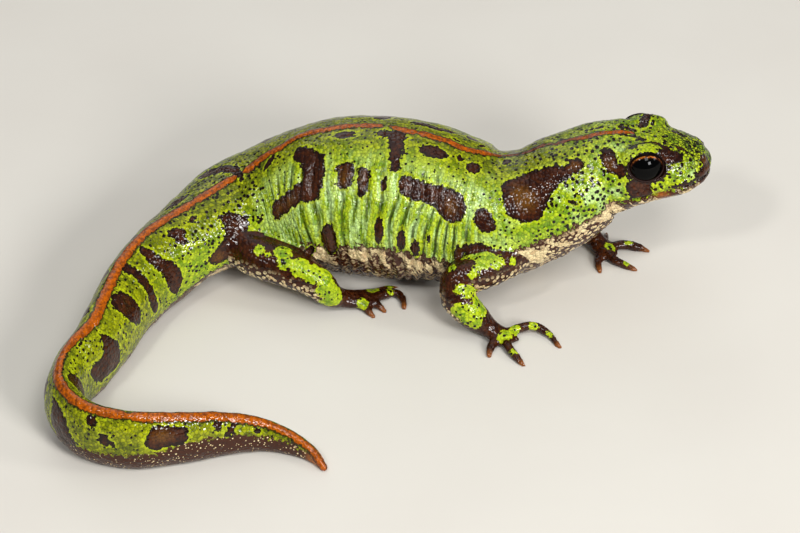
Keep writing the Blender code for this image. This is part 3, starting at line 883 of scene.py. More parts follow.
@dataclass(frozen=True)
class Spot(Mark):
    """An oval marking, turned by an angle in degrees."""

    centre: tuple[float, float]
    half: tuple[float, float]
    turn: float = 0.0

    def depth(self, at: np.ndarray) -> np.ndarray:
        """One less the share of the way from the middle to the edge, times the mean half size.

        Args:
            at: n x 2, along the body and round the girth.

        Returns:
            The depth of each place.
        """
        angle = math.radians(self.turn)
        away = at - np.array(self.centre)
        x = away[:, 0] * math.cos(angle) + away[:, 1] * math.sin(angle)
        y = away[:, 1] * math.cos(angle) - away[:, 0] * math.sin(angle)
        share = np.hypot(x / self.half[0], y / self.half[1])
        return np.maximum((1 - share) * math.sqrt(self.half[0] * self.half[1]), OUTSIDE)

    def places(self) -> np.ndarray:
        """The middle of the edge nearest to the snout."""
        return np.array([[self.centre[0] - self.half[0], self.centre[1]]])

    def mirrored(self, shift: float) -> Mark:
        """The spot with the signs of its girth and turn turned."""
        return Spot((self.centre[0] + shift, -self.centre[1]), self.half, -self.turn)


@dataclass(frozen=True)
class Streak(Mark):
    """A marking along a path, with a half width at its start and another at its end."""

    path: tuple[tuple[float, float], ...]
    half: tuple[float, float]

    def depth(self, at: np.ndarray) -> np.ndarray:
        """The half width less the distance to the nearest stretch of the path.

        Args:
            at: n x 2, along the body and round the girth.

        Returns:
            The depth of each place.
        """
        points = np.array(self.path, float)
        best = np.full(len(at), OUTSIDE)
        count = len(points) - 1
        for number in range(count):
            start, run = points[number], points[number + 1] - points[number]
            part = np.clip((at - start) @ run / (run @ run), 0, 1)
            distance = np.linalg.norm(at - start - part[:, None] * run, axis=1)
            share = (number + part) / count
            best = np.maximum(best, self.half[0] + (self.half[1] - self.half[0]) * share - distance)
        return best

    def places(self) -> np.ndarray:
        """The points of the path."""
        return np.array(self.path)

    def mirrored(self, shift: float) -> Mark:
        """The streak with its girths' signs turned."""
        return Streak(tuple((s + shift, -g) for s, g in self.path), self.half)


# Dark marks that both sides of the head have, as they lie on the right side
RIGHT_HEAD_MARKS = (
    Spot((3.1, 1.35), (0.5, 0.22), -20),
    Blotch(((0.0, 1.2), (0.5, 0.5), (1.0, 1.0), (1.3, 1.9), (0.9, 2.3), (0.3, 2.0))),
    Streak(((0.3, 1.7), (0.9, 3.0), (2.1, 4.7), (3.6, 5.6)), (0.4, 0.25)),
    Blotch(((7.5, 5.6), (6.4, 5.2), (5.3, 5.3), (5.4, 6.6), (5.7, 7.4), (7.5, 7.6))),
)
# Dark marbling of the right side, from the head back, and of the ridge
RIGHT_MARKS = (
    Blotch(
        (
            (20.1, 4.5), (20.1, 7.0), (19.9, 7.7), (18.3, 8.2), (17.3, 8.0), (16.7, 7.2), (15.8, 6.0),
            (14.0, 4.6), (13.1, 4.1), (12.2, 3.8), (11.4, 3.3), (11.8, 2.5), (12.6, 2.2), (13.1, 2.9),
            (14.1, 2.8), (16.2, 2.6), (17.1, 2.9), (18.2, 3.4), (19.3, 3.6),
        )
    ),
    Streak(((7.9, 0.5), (6.9, 0.65), (6.0, 0.95)), (0.2, 0.22)),
    Streak(((6.9, 2.5), (5.9, 1.65), (5.0, 1.35), (4.4, 1.7), (4.0, 2.3)), (0.2, 0.42)),
    Blotch(
        (
            (9.7, 2.1), (9.0, 2.3), (8.3, 3.0), (8.4, 3.5), (8.0, 4.0), (7.0, 4.0), (7.2, 5.2), (7.9, 5.3),
            (9.0, 5.0), (9.8, 4.5), (10.1, 3.9), (10.1, 2.9),
        )
    ),
    Blotch(((4.7, 2.1), (3.9, 1.9), (3.1, 1.8), (2.9, 2.6), (3.3, 3.2), (4.0, 3.6), (4.7, 3.3))),
    Spot((11.8, 5.0), (0.28, 0.22), 40),
    Spot((11.0, 5.7), (0.22, 0.35)),
    Spot((14.2, 7.0), (0.35, 0.32)),
    Spot((13.4, 6.0), (0.2, 0.2)),
    Spot((18.9, 1.1), (0.7, 0.45), 15),
    Spot((22.1, 8.1), (0.9, 1.25), 12),
    Spot((24.1, 2.8), (0.95, 0.75)),
    Spot((26.2, 2.2), (0.65, 0.4)),
    Spot((28.9, 2.8), (1.1, 0.75), 10),
    Streak(((33.2, 1.8), (32.3, 1.8), (31.5, 1.8)), (0.5, 0.5)),
    Streak(((32.0, 1.8), (31.7, 3.8), (31.6, 5.6)), (0.8, 0.42)),
    Spot((36.3, 2.0), (0.95, 0.5)),
    Blotch(((36.7, 5.6), (36.3, 7.9), (35.7, 8.2), (35.05, 7.6), (35.0, 5.9), (35.6, 5.2))),
    Blotch(((34.75, 5.9), (34.7, 8.5), (34.2, 9.2), (33.7, 8.5), (33.5, 6.5), (34.0, 5.8))),
    Spot((32.3, 7.4), (0.3, 0.8)),
    Blotch(
        (
            (31.2, 6.4), (30.3, 5.9), (29.4, 6.2), (28.2, 6.1), (27.0, 5.6), (25.0, 5.7), (23.9, 6.6),
            (24.0, 8.2),
            (25.2, 8.9), (27.3, 8.7), (28.3, 8.0), (29.6, 8.4), (30.9, 8.1),
        )
    ),
    Streak(((39.5, 3.5), (38.5, 4.4), (38.2, 6.0), (38.5, 8.0)), (0.75, 0.9)),
    Streak(((38.5, 7.4), (40.0, 7.9), (42.0, 7.6), (43.6, 7.2)), (0.95, 0.9)),
    Spot((43.3, 2.2), (1.0, 0.38), 25),
    Spot((47.0, 6.1), (0.5, 0.28)),
    Blotch(
        (
            (53.0, 2.75), (51.7, 3.1), (50.75, 4.1), (50.3, 5.2), (51.65, 5.8), (52.3, 6.0), (52.8, 6.9),
            (54.1, 7.9),
            (55.75, 6.7), (55.0, 5.9), (53.7, 5.4), (53.2, 5.0), (52.9, 4.1),
        )
    ),
    Blotch(((57.6, 1.4), (56.6, 1.5), (55.6, 2.2), (56.4, 3.15), (56.6, 3.7), (57.6, 3.3))),
    Spot((54.6, 1.8), (0.45, 0.3)),
    Blotch(
        (
            (61.2, 0.7), (60.7, 1.8), (60.5, 3.0), (59.4, 4.2), (58.8, 6.0), (59.4, 7.5), (60.6, 7.8),
            (61.4, 6.0),
            (61.2, 4.9), (62.0, 2.8), (62.0, 1.4),
        )
    ),
    Streak(((64.3, 0.8), (64.0, 2.2), (63.9, 3.5), (64.0, 5.0), (64.0, 6.5)), (0.5, 0.7)),
    Blotch(((68.8, 1.0), (67.0, 1.4), (66.6, 2.9), (66.3, 4.6), (67.3, 6.0), (68.6, 4.5), (69.3, 2.1))),
    Blotch(
        (
            (72.8, 1.5), (71.8, 3.1), (71.2, 4.9), (71.8, 6.6), (74.1, 6.0), (74.9, 6.1), (76.6, 4.0),
            (75.7, 3.2),
            (74.0, 3.8), (73.2, 2.6),
        )
    ),
    Blotch(((80.3, 0.5), (79.2, 1.0), (78.8, 2.4), (79.3, 4.2), (82.5, 4.2), (82.3, 2.0), (81.4, 0.9))),
    Spot((70.2, 3.6), (0.2, 0.2)),
    Spot((70.0, 4.7), (0.2, 0.22)),
    Spot((75.3, 0.9), (0.3, 0.25)),
    Spot((77.5, 1.2), (0.25, 0.22)),
    Spot((78.6, 1.2), (0.2, 0.25)),
    Spot((76.0, 2.1), (0.22, 0.2)),
    Spot((76.6, 2.7), (0.2, 0.2)),
    Spot((89.0, 3.2), (0.9, 1.2)),
    Spot((94.0, 2.4), (1.5, 1.1)),
    Spot((100.0, 1.5), (0.8, 0.7)),
)
# Dark marbling of the left side, near the ridge and on the head
LEFT_MARKS = (
    Streak(((5.4, -3.4), (5.9, -2.2), (6.4, -1.2)), (0.45, 0.4)),
    Streak(((3.4, -1.3), (2.3, -0.95)), (0.32, 0.2)),
    Blotch(
        (
            (9.7, -4.3), (8.9, -4.6), (8.1, -5.0), (7.2, -5.2), (7.9, -5.8), (9.0, -5.6), (9.9, -5.2),
            (10.2, -4.6),
        )
    ),
    Blotch(((4.4, -3.6), (3.7, -3.3), (3.0, -3.1), (2.9, -3.7), (3.5, -4.2), (4.4, -4.2))),
    Streak(((8.1, -0.85), (6.9, -0.3)), (0.32, 0.25)),
    Spot((10.0, -0.75), (0.4, 0.25)),
    Spot((24.0, -0.9), (0.5, 0.3)),
    Spot((25.3, -2.0), (0.8, 0.45)),
    Spot((21.8, -2.6), (1.3, 0.5), -5),
    Spot((27.2, -0.1), (0.5, 0.2)),
    Streak(((30.7, -1.35), (29.0, -1.15), (28.0, -1.4)), (0.5, 0.4)),
    Streak(((36.3, -1.9), (34.4, -1.9)), (0.4, 0.4)),
    Spot((39.0, -2.4), (1.0, 0.6)),
    Spot((43.8, -2.6), (0.9, 0.5)),
    Streak(((50.2, -2.9), (48.8, -1.6), (47.8, -0.3), (47.6, 1.0)), (0.8, 0.45)),
    Spot((54.2, -1.4), (1.2, 0.5)),
    Streak(((60.5, -1.0), (61.2, -4.5)), (0.7, 0.9)),
    Streak(((65.5, -1.2), (66.2, -5.5)), (0.8, 1.0)),
    Streak(((71.0, -1.0), (72.6, -5.0)), (0.9, 1.1)),
)
# Dark marbling of the left side of the tail's last stretch, which curls round to face the camera
OUTER_TAIL_MARKS = (
    Blotch(
        (
            (81.3, -1.6), (82.4, -1.8), (83.4, -2.2), (83.9, -3.0), (84.2, -3.9), (85.0, -4.9), (83.5, -5.6),
            (82.0, -5.4), (81.7, -4.2), (81.9, -3.0),
        )
    ),
    Blotch(((79.0, -1.7), (80.3, -1.9), (80.4, -3.6), (80.6, -5.2), (78.4, -5.2), (78.6, -3.4))),
    Spot((85.8, -1.5), (0.5, 0.65)),
    Spot((87.0, -0.8), (0.27, 0.25)),
    Blotch(((86.6, -2.4), (86.5, -3.5), (86.9, -3.75), (87.9, -3.7), (87.6, -3.1), (87.0, -2.5))),
    Blotch(
        (
            (90.6, -1.4), (91.2, -1.1), (92.4, -1.3), (93.4, -1.2), (94.0, -1.6), (94.0, -2.8), (93.0, -3.3),
            (91.8, -3.4), (91.0, -3.9), (90.3, -3.5), (90.0, -3.0), (90.3, -2.2),
        )
    ),
    Spot((96.7, -1.3), (0.45, 0.6)),
    Streak(((98.5, -0.9), (97.8, -2.1)), (0.3, 0.4)),
    Spot((100.6, -1.2), (0.4, 0.3)),
)
# Reddish patches inside the dark marbling
RUST = (
    Blotch(((19.2, 5.0), (18.6, 4.2), (17.3, 4.3), (16.6, 5.4), (17.4, 6.9), (18.6, 7.0))),
    Spot((12.5, 3.1), (0.5, 0.35)),
    Spot((9.3, 4.0), (0.5, 0.5)),
    Spot((36.0, 7.0), (0.45, 0.8)),
    Spot((34.6, 7.2), (0.4, 0.8)),
    Spot((40.6, 8.0), (0.9, 0.4)),
    Spot((42.8, 7.5), (0.7, 0.35)),
    Spot((0.8, 1.7), (0.5, 0.5)),
    Spot((3.1, 1.35), (0.5, 0.22)),
    Spot((91.6, -2.2), (0.8, 0.6)),
    Spot((26.0, 7.4), (0.9, 0.7)),
    Spot((54.3, 6.7), (0.6, 0.6)),
)
# Brown bars that run down over the border of green and cream on the flank
FLANK_BARS = (
    Spot((37.3, 13.2), (0.75, 1.9)),
    Spot((32.4, 12.2), (0.45, 1.6)),
    Spot((30.3, 12.7), (0.4, 1.3)),
    Spot((29.0, 13.2), (0.4, 1.1)),
    Spot((28.0, 11.6), (0.2, 0.6)),
    Spot((24.3, 12.1), (0.5, 1.1)),
    Spot((39.4, 14.0), (0.7, 0.5)),
    Spot((22.6, 11.3), (1.4, 0.8)),
)
# Stripe along the ridge: distance from the snout, girth of its middle and half its width
STRIPE = (
    (6.9, 0.1, 0.10), (8.0, 0.12, 0.24), (10.0, 0.25, 0.24), (11.0, 0.3, 0.2), (12.0, -0.2, 0.16),
    (14.0, -0.35, 0.15),
    (16.0, -0.25, 0.16), (20.0, 0.0, 0.2), (22.0, 0.3, 0.3), (26.0, 0.7, 0.36), (30.0, 0.9, 0.4),
    (33.0, 0.65, 0.36),
    (36.0, 0.6, 0.38), (39.0, 0.9, 0.4), (42.0, 1.2, 0.4), (46.0, 0.9, 0.4), (48.0, 0.5, 0.4),
    (50.0, 0.15, 0.4),
    (56.0, 0.2, 0.42), (62.0, 0.3, 0.42), (68.0, 0.5, 0.45), (72.0, 0.8, 0.46), (74.0, 0.4, 0.46),
    (76.0, 0.0, 0.46),
    (78.0, -0.3, 0.46), (80.0, -0.4, 0.46), (100.0, -0.4, 0.42), (106.0, -0.3, 0.3),
)
# Dark breaks in the stripe: distance from the snout, half length and how complete each is
STRIPE_BREAKS = ((30.3, 0.25, 0.5), (33.0, 0.4, 1.0), (47.6, 0.8, 1.0), (53.4, 0.3, 0.4), (88.6, 0.5, 0.5))
# Border between the green flank and the paler belly: distance from the snout, and share of the girth
BORDER = (
    (0.0, 0.52), (9.0, 0.52), (13.0, 0.54), (16.0, 0.56), (22.0, 0.57), (25.0, 0.58), (30.0, 0.56),
    (42.0, 0.57),
    (50.0, 0.55), (56.0, 0.66), (62.0, 0.77), (76.0, 0.81), (88.0, 0.77), (95.0, 0.7), (100.0, 0.55),
    (108.0, 0.4),
)
# The same border on the left side of the tail
LEFT_TAIL_BORDER = (
    (76.0, 0.81), (80.0, 0.7), (84.0, 0.60), (90.0, 0.58), (94.0, 0.42), (98.0, 0.37), (102.0, 0.34),
    (108.0, 0.30),
)
# Distance from the snout, and how thick black specks lie there or how dark the granules' net is
SPECKS = (
    (0, 0.95), (15, 0.97), (20, 0.8), (26, 0.72), (40, 0.7), (46, 0.9), (56, 0.9), (64, 0.72), (106, 0.7),
)
NET = (
    (0, 0.9), (3.2, 0.8), (5.5, 0.15), (12, 0.12), (20, 0.2), (28, 0.12), (44, 0.12), (50, 0.25), (60, 0.15),
    (106, 0.2),
)
# Green patches of the limbs: x, y, z and radius
LIMB_PATCHES = (
    (6.2, -8.1, 7.55, 0.4), (7.0, -8.1, 7.75, 0.55), (7.8, -8.3, 7.8, 0.8), (8.6, -8.8, 7.8, 0.85),
    (9.4, -8.9, 7.5, 0.75),
    (8.0, -9.2, 7.5, 0.6), (7.4, -9.7, 7.2, 0.5), (7.0, -10.1, 6.8, 0.45), (5.1, -9.2, 6.95, 0.5),
    (10.9, -8.4, 7.2, 0.4),
    (5.8, -10.8, 5.6, 0.6), (6.5, -10.6, 5.2, 0.75), (7.4, -10.5, 4.9, 0.45),
    (7.7, -10.8, 4.0, 0.9), (7.9, -11.2, 3.5, 0.7), (5.6, -11.8, 3.7, 0.8), (6.6, -12.0, 3.4, 1.15),
    (7.2, -12.1, 2.8, 0.8),
    (10.3, -12.4, 1.3, 0.65), (9.9, -12.8, 1.0, 0.5), (11.1, -11.6, 1.3, 0.6),
    (13.0, -11.2, 1.4, 0.55), (14.6, -11.9, 1.0, 0.4), (11.0, -14.6, 0.8, 0.4),
    (-13.7, -6.1, 6.8, 0.6), (-12.9, -6.4, 6.4, 0.4), (-11.4, -6.3, 6.7, 0.9), (-11.2, -7.2, 6.1, 0.8),
    (-9.7, -7.6, 5.8, 1.0), (-8.6, -7.9, 5.3, 1.0), (-7.4, -7.6, 4.9, 0.8), (-7.2, -8.4, 3.9, 1.1),
    (-6.5, -8.4, 2.8, 1.1), (-7.2, -8.6, 2.2, 0.8),
    (-3.7, -7.5, 1.2, 0.6), (-2.7, -5.1, 1.1, 0.65), (-1.0, -4.2, 0.8, 0.5), (-1.0, -5.6, 1.2, 0.35),
    (12.4, 5.0, 8.0, 1.2), (13.4, 6.4, 7.9, 0.8), (14.5, 8.8, 6.5, 1.1), (16.5, 7.8, 4.8, 0.9),
    (17.2, 6.6, 4.6, 0.6),
    (19.0, 4.2, 3.2, 0.8), (21.0, 1.5, 1.3, 0.55), (23.0, 2.4, 1.3, 0.45), (22.6, -0.6, 1.0, 0.4),
    (-15.4, 6.2, 7.0, 1.3), (-14.6, 7.6, 7.0, 0.8), (-14.3, 10.5, 6.5, 1.2), (-14.6, 13.8, 4.0, 1.0),
    (-15.2, 15.0, 1.8, 0.7), (-13.0, 16.0, 1.4, 0.5), (-12.2, 17.2, 1.0, 0.4),
)


def mirrored(marks: tuple[Mark, ...], shift: float) -> tuple[Mark, ...]:
    """The marks of one side laid on the other, moved towards the tail by a shift."""
    return tuple(mark.mirrored(shift) for mark in marks)


def most(marks: tuple[Mark, ...], at: np.ndarray) -> np.ndarray:
    """The greatest depth inside any of the marks at each place."""
    return np.max([mark.depth(at) for mark in marks], axis=0)


def linear(code: str) -> tuple[float, float, float, float]:
    """A colour for a shader from its sRGB hex code: the sRGB curve undone for each channel."""
    levels = [int(code[k : k + 2], 16) / 255 for k in (1, 3, 5)]
    return (*(v / 12.92 if v <= 0.04045 else ((v + 0.055) / 1.055) ** 2.4 for v in levels), 1.0)


class Graph:
    """A material's node tree, to which nodes are added one at a time."""

    def __init__(self, name: str) -> None:
        """Makes an empty material.

        Args:
            name: the material's name.
        """
        self.material = bpy.data.materials.new(name)
        self.material.use_nodes = True
        self.tree = self.material.node_tree
        self.tree.nodes.clear()

    def add(self, kind: str, inputs: dict[Any, Any], out: Any = 0, **settings: Any) -> Any:
        """Adds a node.

        Args:
            kind: the node's type, without the words ShaderNode.
            inputs: for each input's name or number, a socket to link or a value to set.
            out: name or number of the output wanted.
            settings: the node's own settings.

        Returns:
            That output.
        """
        node = self.tree.nodes.new("ShaderNode" + kind)
        for key, value in settings.items():
            setattr(node, key, value)
        for key, value in inputs.items():
            if isinstance(value, bpy.types.NodeSocket):
                self.tree.links.new(value, node.inputs[key])
            else:
                node.inputs[key].default_value = value
        return node.outputs[out] if len(node.outputs) else None


@dataclass(frozen=True)
class MoistSkin:
    """Amphibian skin, granular and wet.

    Each granule is a little dome with its own tone. Painted shade darkens the gaps between the domes
    and the flank's folds and creases. A painted sheen of wet reflections lightens the neck and the
    flank's streaks, and a painted highlight lies on the creases' crests. A thin film of water over matt
    skin gives it small hard glints on every dome, while the colours under it stay deep and full.
    """

    LAYERS = (
        "blotch", "rust", "stripe", "dull", "belly", "limb", "patch", "specks", "net", "olive", "flank",
        "painted_sheen", "tan", "wart", "tail", "crease", "phase",
    )

    green_deep: str = "#6C9010"
    green_bright: str = "#B6CA20"
    olive_deep: str = "#5C6604"
    olive_bright: str = "#9CA20C"
    yellow: str = "#C4D212"
    # Pale green of a painted sheen: wet reflections painted on the neck, the head and the flank
    painted_sheen: str = "#C2E28E"
    # Dark green of painted shade in the gaps between granules and in the flank's creases
    gap: str = "#2C3A06"
    black: str = "#120704"
    brown: str = "#250B05"
    brown_light: str = "#48220C"
    rust: str = "#6A420F"
    orange: str = "#B85A00"
    orange_dull: str = "#6E3206"
    cream: str = "#F0DAA6"
    belly: str = "#3E1C0C"
    tan: str = "#A4602A"
    # Millimetres from one to the next, as they stand in the photograph: granules, black specks, pale
    # warts, the tail's pale stipples, and the notches in the edges of marks
    granule: float = 0.36
    speck: float = 0.5
    wart: float = 0.45
    stipple: float = 0.32
    edge: float = 0.42
    roughness: float = 0.55
    water: float = 0.7
    water_roughness: float = 0.06
    # Millimetres of bump in the skin, and in the film of water, which fills the gaps and lies smoother
    bump_height: float = 0.11
    film_height: float = 0.03

    def build(self) -> bpy.types.Material:
        """The material: layers of colour from the skin's attributes, and bumps of granules and folds.

        Returns:
            The material.
        """
        g = Graph("moist_amphibian_skin")
        at = g.add("TexCoord", {}, "Object")
        mm = g.add("VectorMath", {0: at, "Scale": 1000.0}, operation="SCALE")
        lie = g.add("Attribute", {}, "Vector", attribute_name="lie")
        read = {name: g.add("Attribute", {}, "Fac", attribute_name=name) for name in self.LAYERS}
        tones = self.tones(g, mm, lie)
        steps = self.steps(g, read, tones)
        colour = self.colours(g, read, tones, steps)
        height = self.height(g, tones, steps)
        bump = g.add("Bump", {"Strength": 0.9, "Distance": self.bump_height * MM, "Height": height})
        film = g.add("Bump", {"Strength": 1.0, "Distance": self.film_height * MM, "Height": height})
        shader = g.add(
            "BsdfPrincipled",
            {
                "Base Color": colour,
                "Roughness": self.roughness,
                "Normal": bump,
                "Coat Weight": self.water,
                "Coat Roughness": self.water_roughness,
                "Coat Normal": film,
                "Specular IOR Level": 0.0,
            },
        )
        g.add("OutputMaterial", {"Surface": shader})
        return g.material

    def tones(self, g: Graph, mm: Any, lie: Any) -> dict[str, Any]:
        """The patterns that the colours and bumps are made of.

        Cells of a Voronoi pattern stand for granules, specks, warts and stipples, each at its own
        spacing. Noise makes edges ragged and tones uneven. On the flank the noise is drawn out round
        the girth, and on the belly slanting too.

        Args:
            g: the material's graph.
            mm: places in millimetres.
            lie: places along the body and round its girth in millimetres.

        Returns:
            A socket for each pattern.
        """
        made = {}
        # Scales are waves in each millimetre: broad patches of tone are some 2 mm wide, swellings 0.8 mm
        noises = (("ragged", 1 / self.edge, 3.0), ("broad", 0.45, 3.0), ("swell", 1.3, 2.0))
        for name, scale, detail in noises:
            ins = {"Vector": mm, "Scale": scale, "Detail": detail, "Roughness": 0.62}
            made[name] = g.add("TexNoise", ins, "Fac")
        # Waves in each millimetre along the body, slanting, and round the girth
        # streaks places the painted sheen's streaks on the flank, and folds the painted shade of its fine
        # folds
        drawn_out = (("streaks", 1.7, 0.0, 0.2), ("folds", 4.0, 0.0, 0.45), ("jags", 0.55, 0.3, 0.2))
        for name, along, slant, girth in drawn_out:
            east = g.add("VectorMath", {0: lie, 1: (along, slant, 0.0)}, "Value", operation="DOT_PRODUCT")
            north = g.add("VectorMath", {0: lie, 1: (0.0, girth, 0.0)}, "Value", operation="DOT_PRODUCT")
            place = g.add("CombineXYZ", {0: east, 1: north})
            ins = {"Vector": place, "Scale": 1.0, "Detail": 3.0, "Roughness": 0.6}
            made[name] = g.add("TexNoise", ins, "Fac")
        for name in ("granule", "speck", "wart", "stipple"):
            ins = {"Vector": mm, "Scale": 1 / getattr(self, name)}
            made[name] = g.add("TexVoronoi", ins, "Distance", feature="F1")
            made[name + "_tone"] = g.add("SeparateColor", {0: made[name].node.outputs["Color"]}, 0)
        ins = {"Vector": mm, "Scale": 1 / self.granule}
        made["gap"] = g.add("TexVoronoi", ins, "Distance", feature="DISTANCE_TO_EDGE")
        return made

    def steps(self, g: Graph, read: dict[str, Any], tones: dict[str, Any]) -> dict[str, Any]:
        """Smooth steps of the patterns and attributes, each the share of one layer of colour.

        Args:
            g: the material's graph.
            read: the skin's attributes.
            tones: the patterns.

        Returns:
            A socket for each layer.
        """
        ins = {"Value": tones["ragged"], "From Min": 0.3, "From Max": 0.7, "To Min": -0.2, "To Max": 0.2}
        jitter = g.add("MapRange", ins)
        raggedness = {"blotch": 1.0, "patch": 1.0, "rust": 1.5, "stripe": 0.8, "belly": 2.5}
        edge = {
            name: g.add("Math", {0: jitter, 1: share, 2: read[name]}, operation="MULTIPLY_ADD")
            for name, share in raggedness.items()
        }
        soft = g.add("Math", {0: jitter, 1: 0.5}, operation="MULTIPLY")
        size = g.add("Math", {0: read["specks"], 1: 0.46, 2: soft}, operation="MULTIPLY_ADD")
        less = g.add("Math", {0: tones["speck_tone"], 1: -0.17, 2: size}, operation="MULTIPLY_ADD")
        speck = g.add("Math", {0: less, 1: tones["speck"]}, operation="SUBTRACT")
        # Cream thins out from 1.4 mm below the border down, partly the underside's own darker colour and
        # partly painted shade under the belly; on the tail nearly all of it goes, leaving the stipples
        cream_thinning = g.add("MapRange", {"Value": edge["belly"], "From Min": 1.4, "From Max": 3.6, "To Max": 0.14})
        cream_thinning = g.add("Math", {0: cream_thinning, 1: read["tail"]}, operation="ADD")
        patchy = g.add("Math", {0: tones["swell"], 1: 0.6, 2: tones["stipple"]}, operation="MULTIPLY_ADD")
        jags = g.add("Math", {0: tones["jags"], 1: cream_thinning}, operation="SUBTRACT")
        turn = g.add("Math", {0: read["phase"], 1: 2 * math.pi}, operation="MULTIPLY")
        wave = g.add("Math", {0: turn}, operation="COSINE")
        lift = g.add("Math", {0: tones["granule_tone"], 1: 0.6, 2: tones["broad"]}, operation="MULTIPLY_ADD")
        made = {}
        # Each layer's name, what it reads, where it starts and ends, and its share at the end
        for name, value, low, high, top in (
            ("tone", lift, 0.45, 1.15, 1.0),
            # Painted sheen of wet reflections, in patches and in streaks along the flank
            ("painted_sheen", tones["broad"], 0.44, 0.6, read["painted_sheen"]),
            ("pale_streak", tones["streaks"], 0.48, 0.62, read["flank"]),
            # Painted shade in the flank's fine folds and creases, and a painted highlight on the creases'
            # crests
            ("dark_streak", tones["folds"], 0.46, 0.36, read["flank"]),
            ("crease", wave, 0.6, 0.98, read["crease"]),
            ("crest", wave, -0.1, -0.9, read["crease"]),
            # Painted shade in the gaps between the granules' domes
            ("gap", tones["gap"], 0.1, 0.0, 0.5),
            ("net", tones["gap"], 0.2, 0.08, read["net"]),
            ("rim", edge["blotch"], -0.36, -0.1, 0.5),
            ("patch_rim", edge["patch"], 0.35, 0.05, 0.55),
            ("speck", speck, -0.03, 0.04, 1.0),
            ("blotch", edge["blotch"], -0.03, 0.03, 1.0),
            ("blotch_edge", edge["blotch"], 0.4, 0.08, 0.9),
            ("rust", edge["rust"], -0.6, 0.9, 0.9),
            ("belly", edge["belly"], -0.1, 0.1, 1.0),
            ("teeth", edge["belly"], 0.7, 0.2, 1.0),
            ("cream", jags, 0.47, 0.49, 1.0),
            ("cream_tone", tones["granule_tone"], 0.3, 1.2, 0.45),
            ("wart", tones["wart"], 0.5, 0.4, read["wart"]),
            ("stipple", patchy, 0.55, 0.47, read["tail"]),
            ("pepper", tones["ragged"], 0.44, 0.62, 0.8),
            ("patch", edge["patch"], -0.04, 0.04, 1.0),
            ("limb", read["limb"], 0.4, 0.6, 1.0),
            ("stripe_edge", edge["stripe"], -0.24, -0.1, 0.9),
            ("stripe", edge["stripe"], -0.05, 0.04, 1.0),
        ):
            ins = {"Value": value, "From Min": low, "From Max": high, "To Max": top}
            made[name] = g.add("MapRange", ins, interpolation_type="SMOOTHSTEP")
        return made

    def colours(self, g: Graph, read: dict, tones: dict, steps: dict) -> Any:
        """The colour: layers laid on one another by their shares.

        Args:
            g: the material's graph.
            read: the skin's attributes.
            tones: the patterns.
            steps: the layers' shares.

        Returns:
            The colour's socket.
        """

        def laid(under: Any, *layers: tuple[Any, Any]) -> Any:
            """Each colour laid on those before it by its share."""
            for share, over in layers:
                under = g.add("Mix", {0: share, 6: under, 7: over}, 2, data_type="RGBA")
            return under

        # Wherever the gap step darkens a layer below, it is painted shade in the gaps between the granules'
        # domes
        codes = {name: linear(value) for name, value in vars(self).items() if str(value).startswith("#")}
        green = laid(codes["green_deep"], (steps["tone"], codes["green_bright"]))
        olive = laid(codes["olive_deep"], (steps["tone"], codes["olive_bright"]))
        # The green takes a painted sheen, painted shade in the folds, creases and gaps, and a painted
        # highlight on the crests
        green = laid(
            green,
            (read["olive"], olive),
            (steps["painted_sheen"], codes["painted_sheen"]),
            (steps["pale_streak"], codes["painted_sheen"]),
            (steps["dark_streak"], codes["green_deep"]),
            (steps["crest"], codes["green_bright"]),
            (steps["crease"], codes["gap"]),
            (steps["gap"], codes["gap"]),
        )
        # The dark marbling, lighter along the flank's painted sheen streaks, with painted shade in its gaps
        brown = laid(
            codes["brown"],
            (tones["granule_tone"], codes["brown_light"]),
            (steps["pale_streak"], codes["brown_light"]),
            (steps["rust"], codes["rust"]),
            (steps["blotch_edge"], codes["black"]),
            (steps["gap"], codes["black"]),
        )
        cream = laid(codes["cream"], (steps["cream_tone"], codes["tan"]))
        under = laid(
            codes["belly"],
            (steps["cream"], cream),
            (steps["teeth"], codes["belly"]),
            (steps["wart"], cream),
            (steps["stipple"], cream),
            (steps["gap"], codes["belly"]),
        )
        leg = laid(codes["brown"], (tones["granule_tone"], codes["brown_light"]), (steps["wart"], cream))
        patch = laid(green, (steps["patch_rim"], codes["yellow"]), (steps["speck"], codes["black"]))
        leg = laid(leg, (steps["gap"], codes["black"]), (steps["patch"], patch))
        orange = laid(
            codes["orange"],
            (read["dull"], codes["orange_dull"]),
            (steps["pepper"], codes["orange_dull"]),
            (steps["gap"], codes["orange_dull"]),
        )
        return laid(
            green,
            (steps["rim"], codes["yellow"]),
            (steps["net"], codes["black"]),
            (steps["speck"], codes["black"]),
            (steps["belly"], under),
            (steps["blotch"], brown),
            (steps["limb"], leg),
            (read["tan"], codes["tan"]),
            (steps["stripe_edge"], codes["black"]),
            (steps["stripe"], orange),
        )

    def height(self, g: Graph, tones: dict[str, Any], steps: dict[str, Any]) -> Any:
        """The bumps: domes of granules and warts, each one less the square of the way from its middle.

        Args:
            g: the material's graph.
            tones: the patterns.
            steps: the layers' shares.

        Returns:
            The height's socket.
        """
        total: Any = 0.0
        for name, share, power in (("granule", -1.7, 2.0), ("swell", 1.6, 1.0), ("wart", -0.5, 2.0)):
            raised = g.add("Math", {0: tones[name], 1: power}, operation="POWER")
            total = g.add("Math", {0: raised, 1: share, 2: total}, operation="MULTIPLY_ADD")
        for name, share in (("dark_streak", -1.3), ("crease", -1.5), ("wart", 0.5)):
            total = g.add("Math", {0: steps[name], 1: share, 2: total}, operation="MULTIPLY_ADD")
        return total


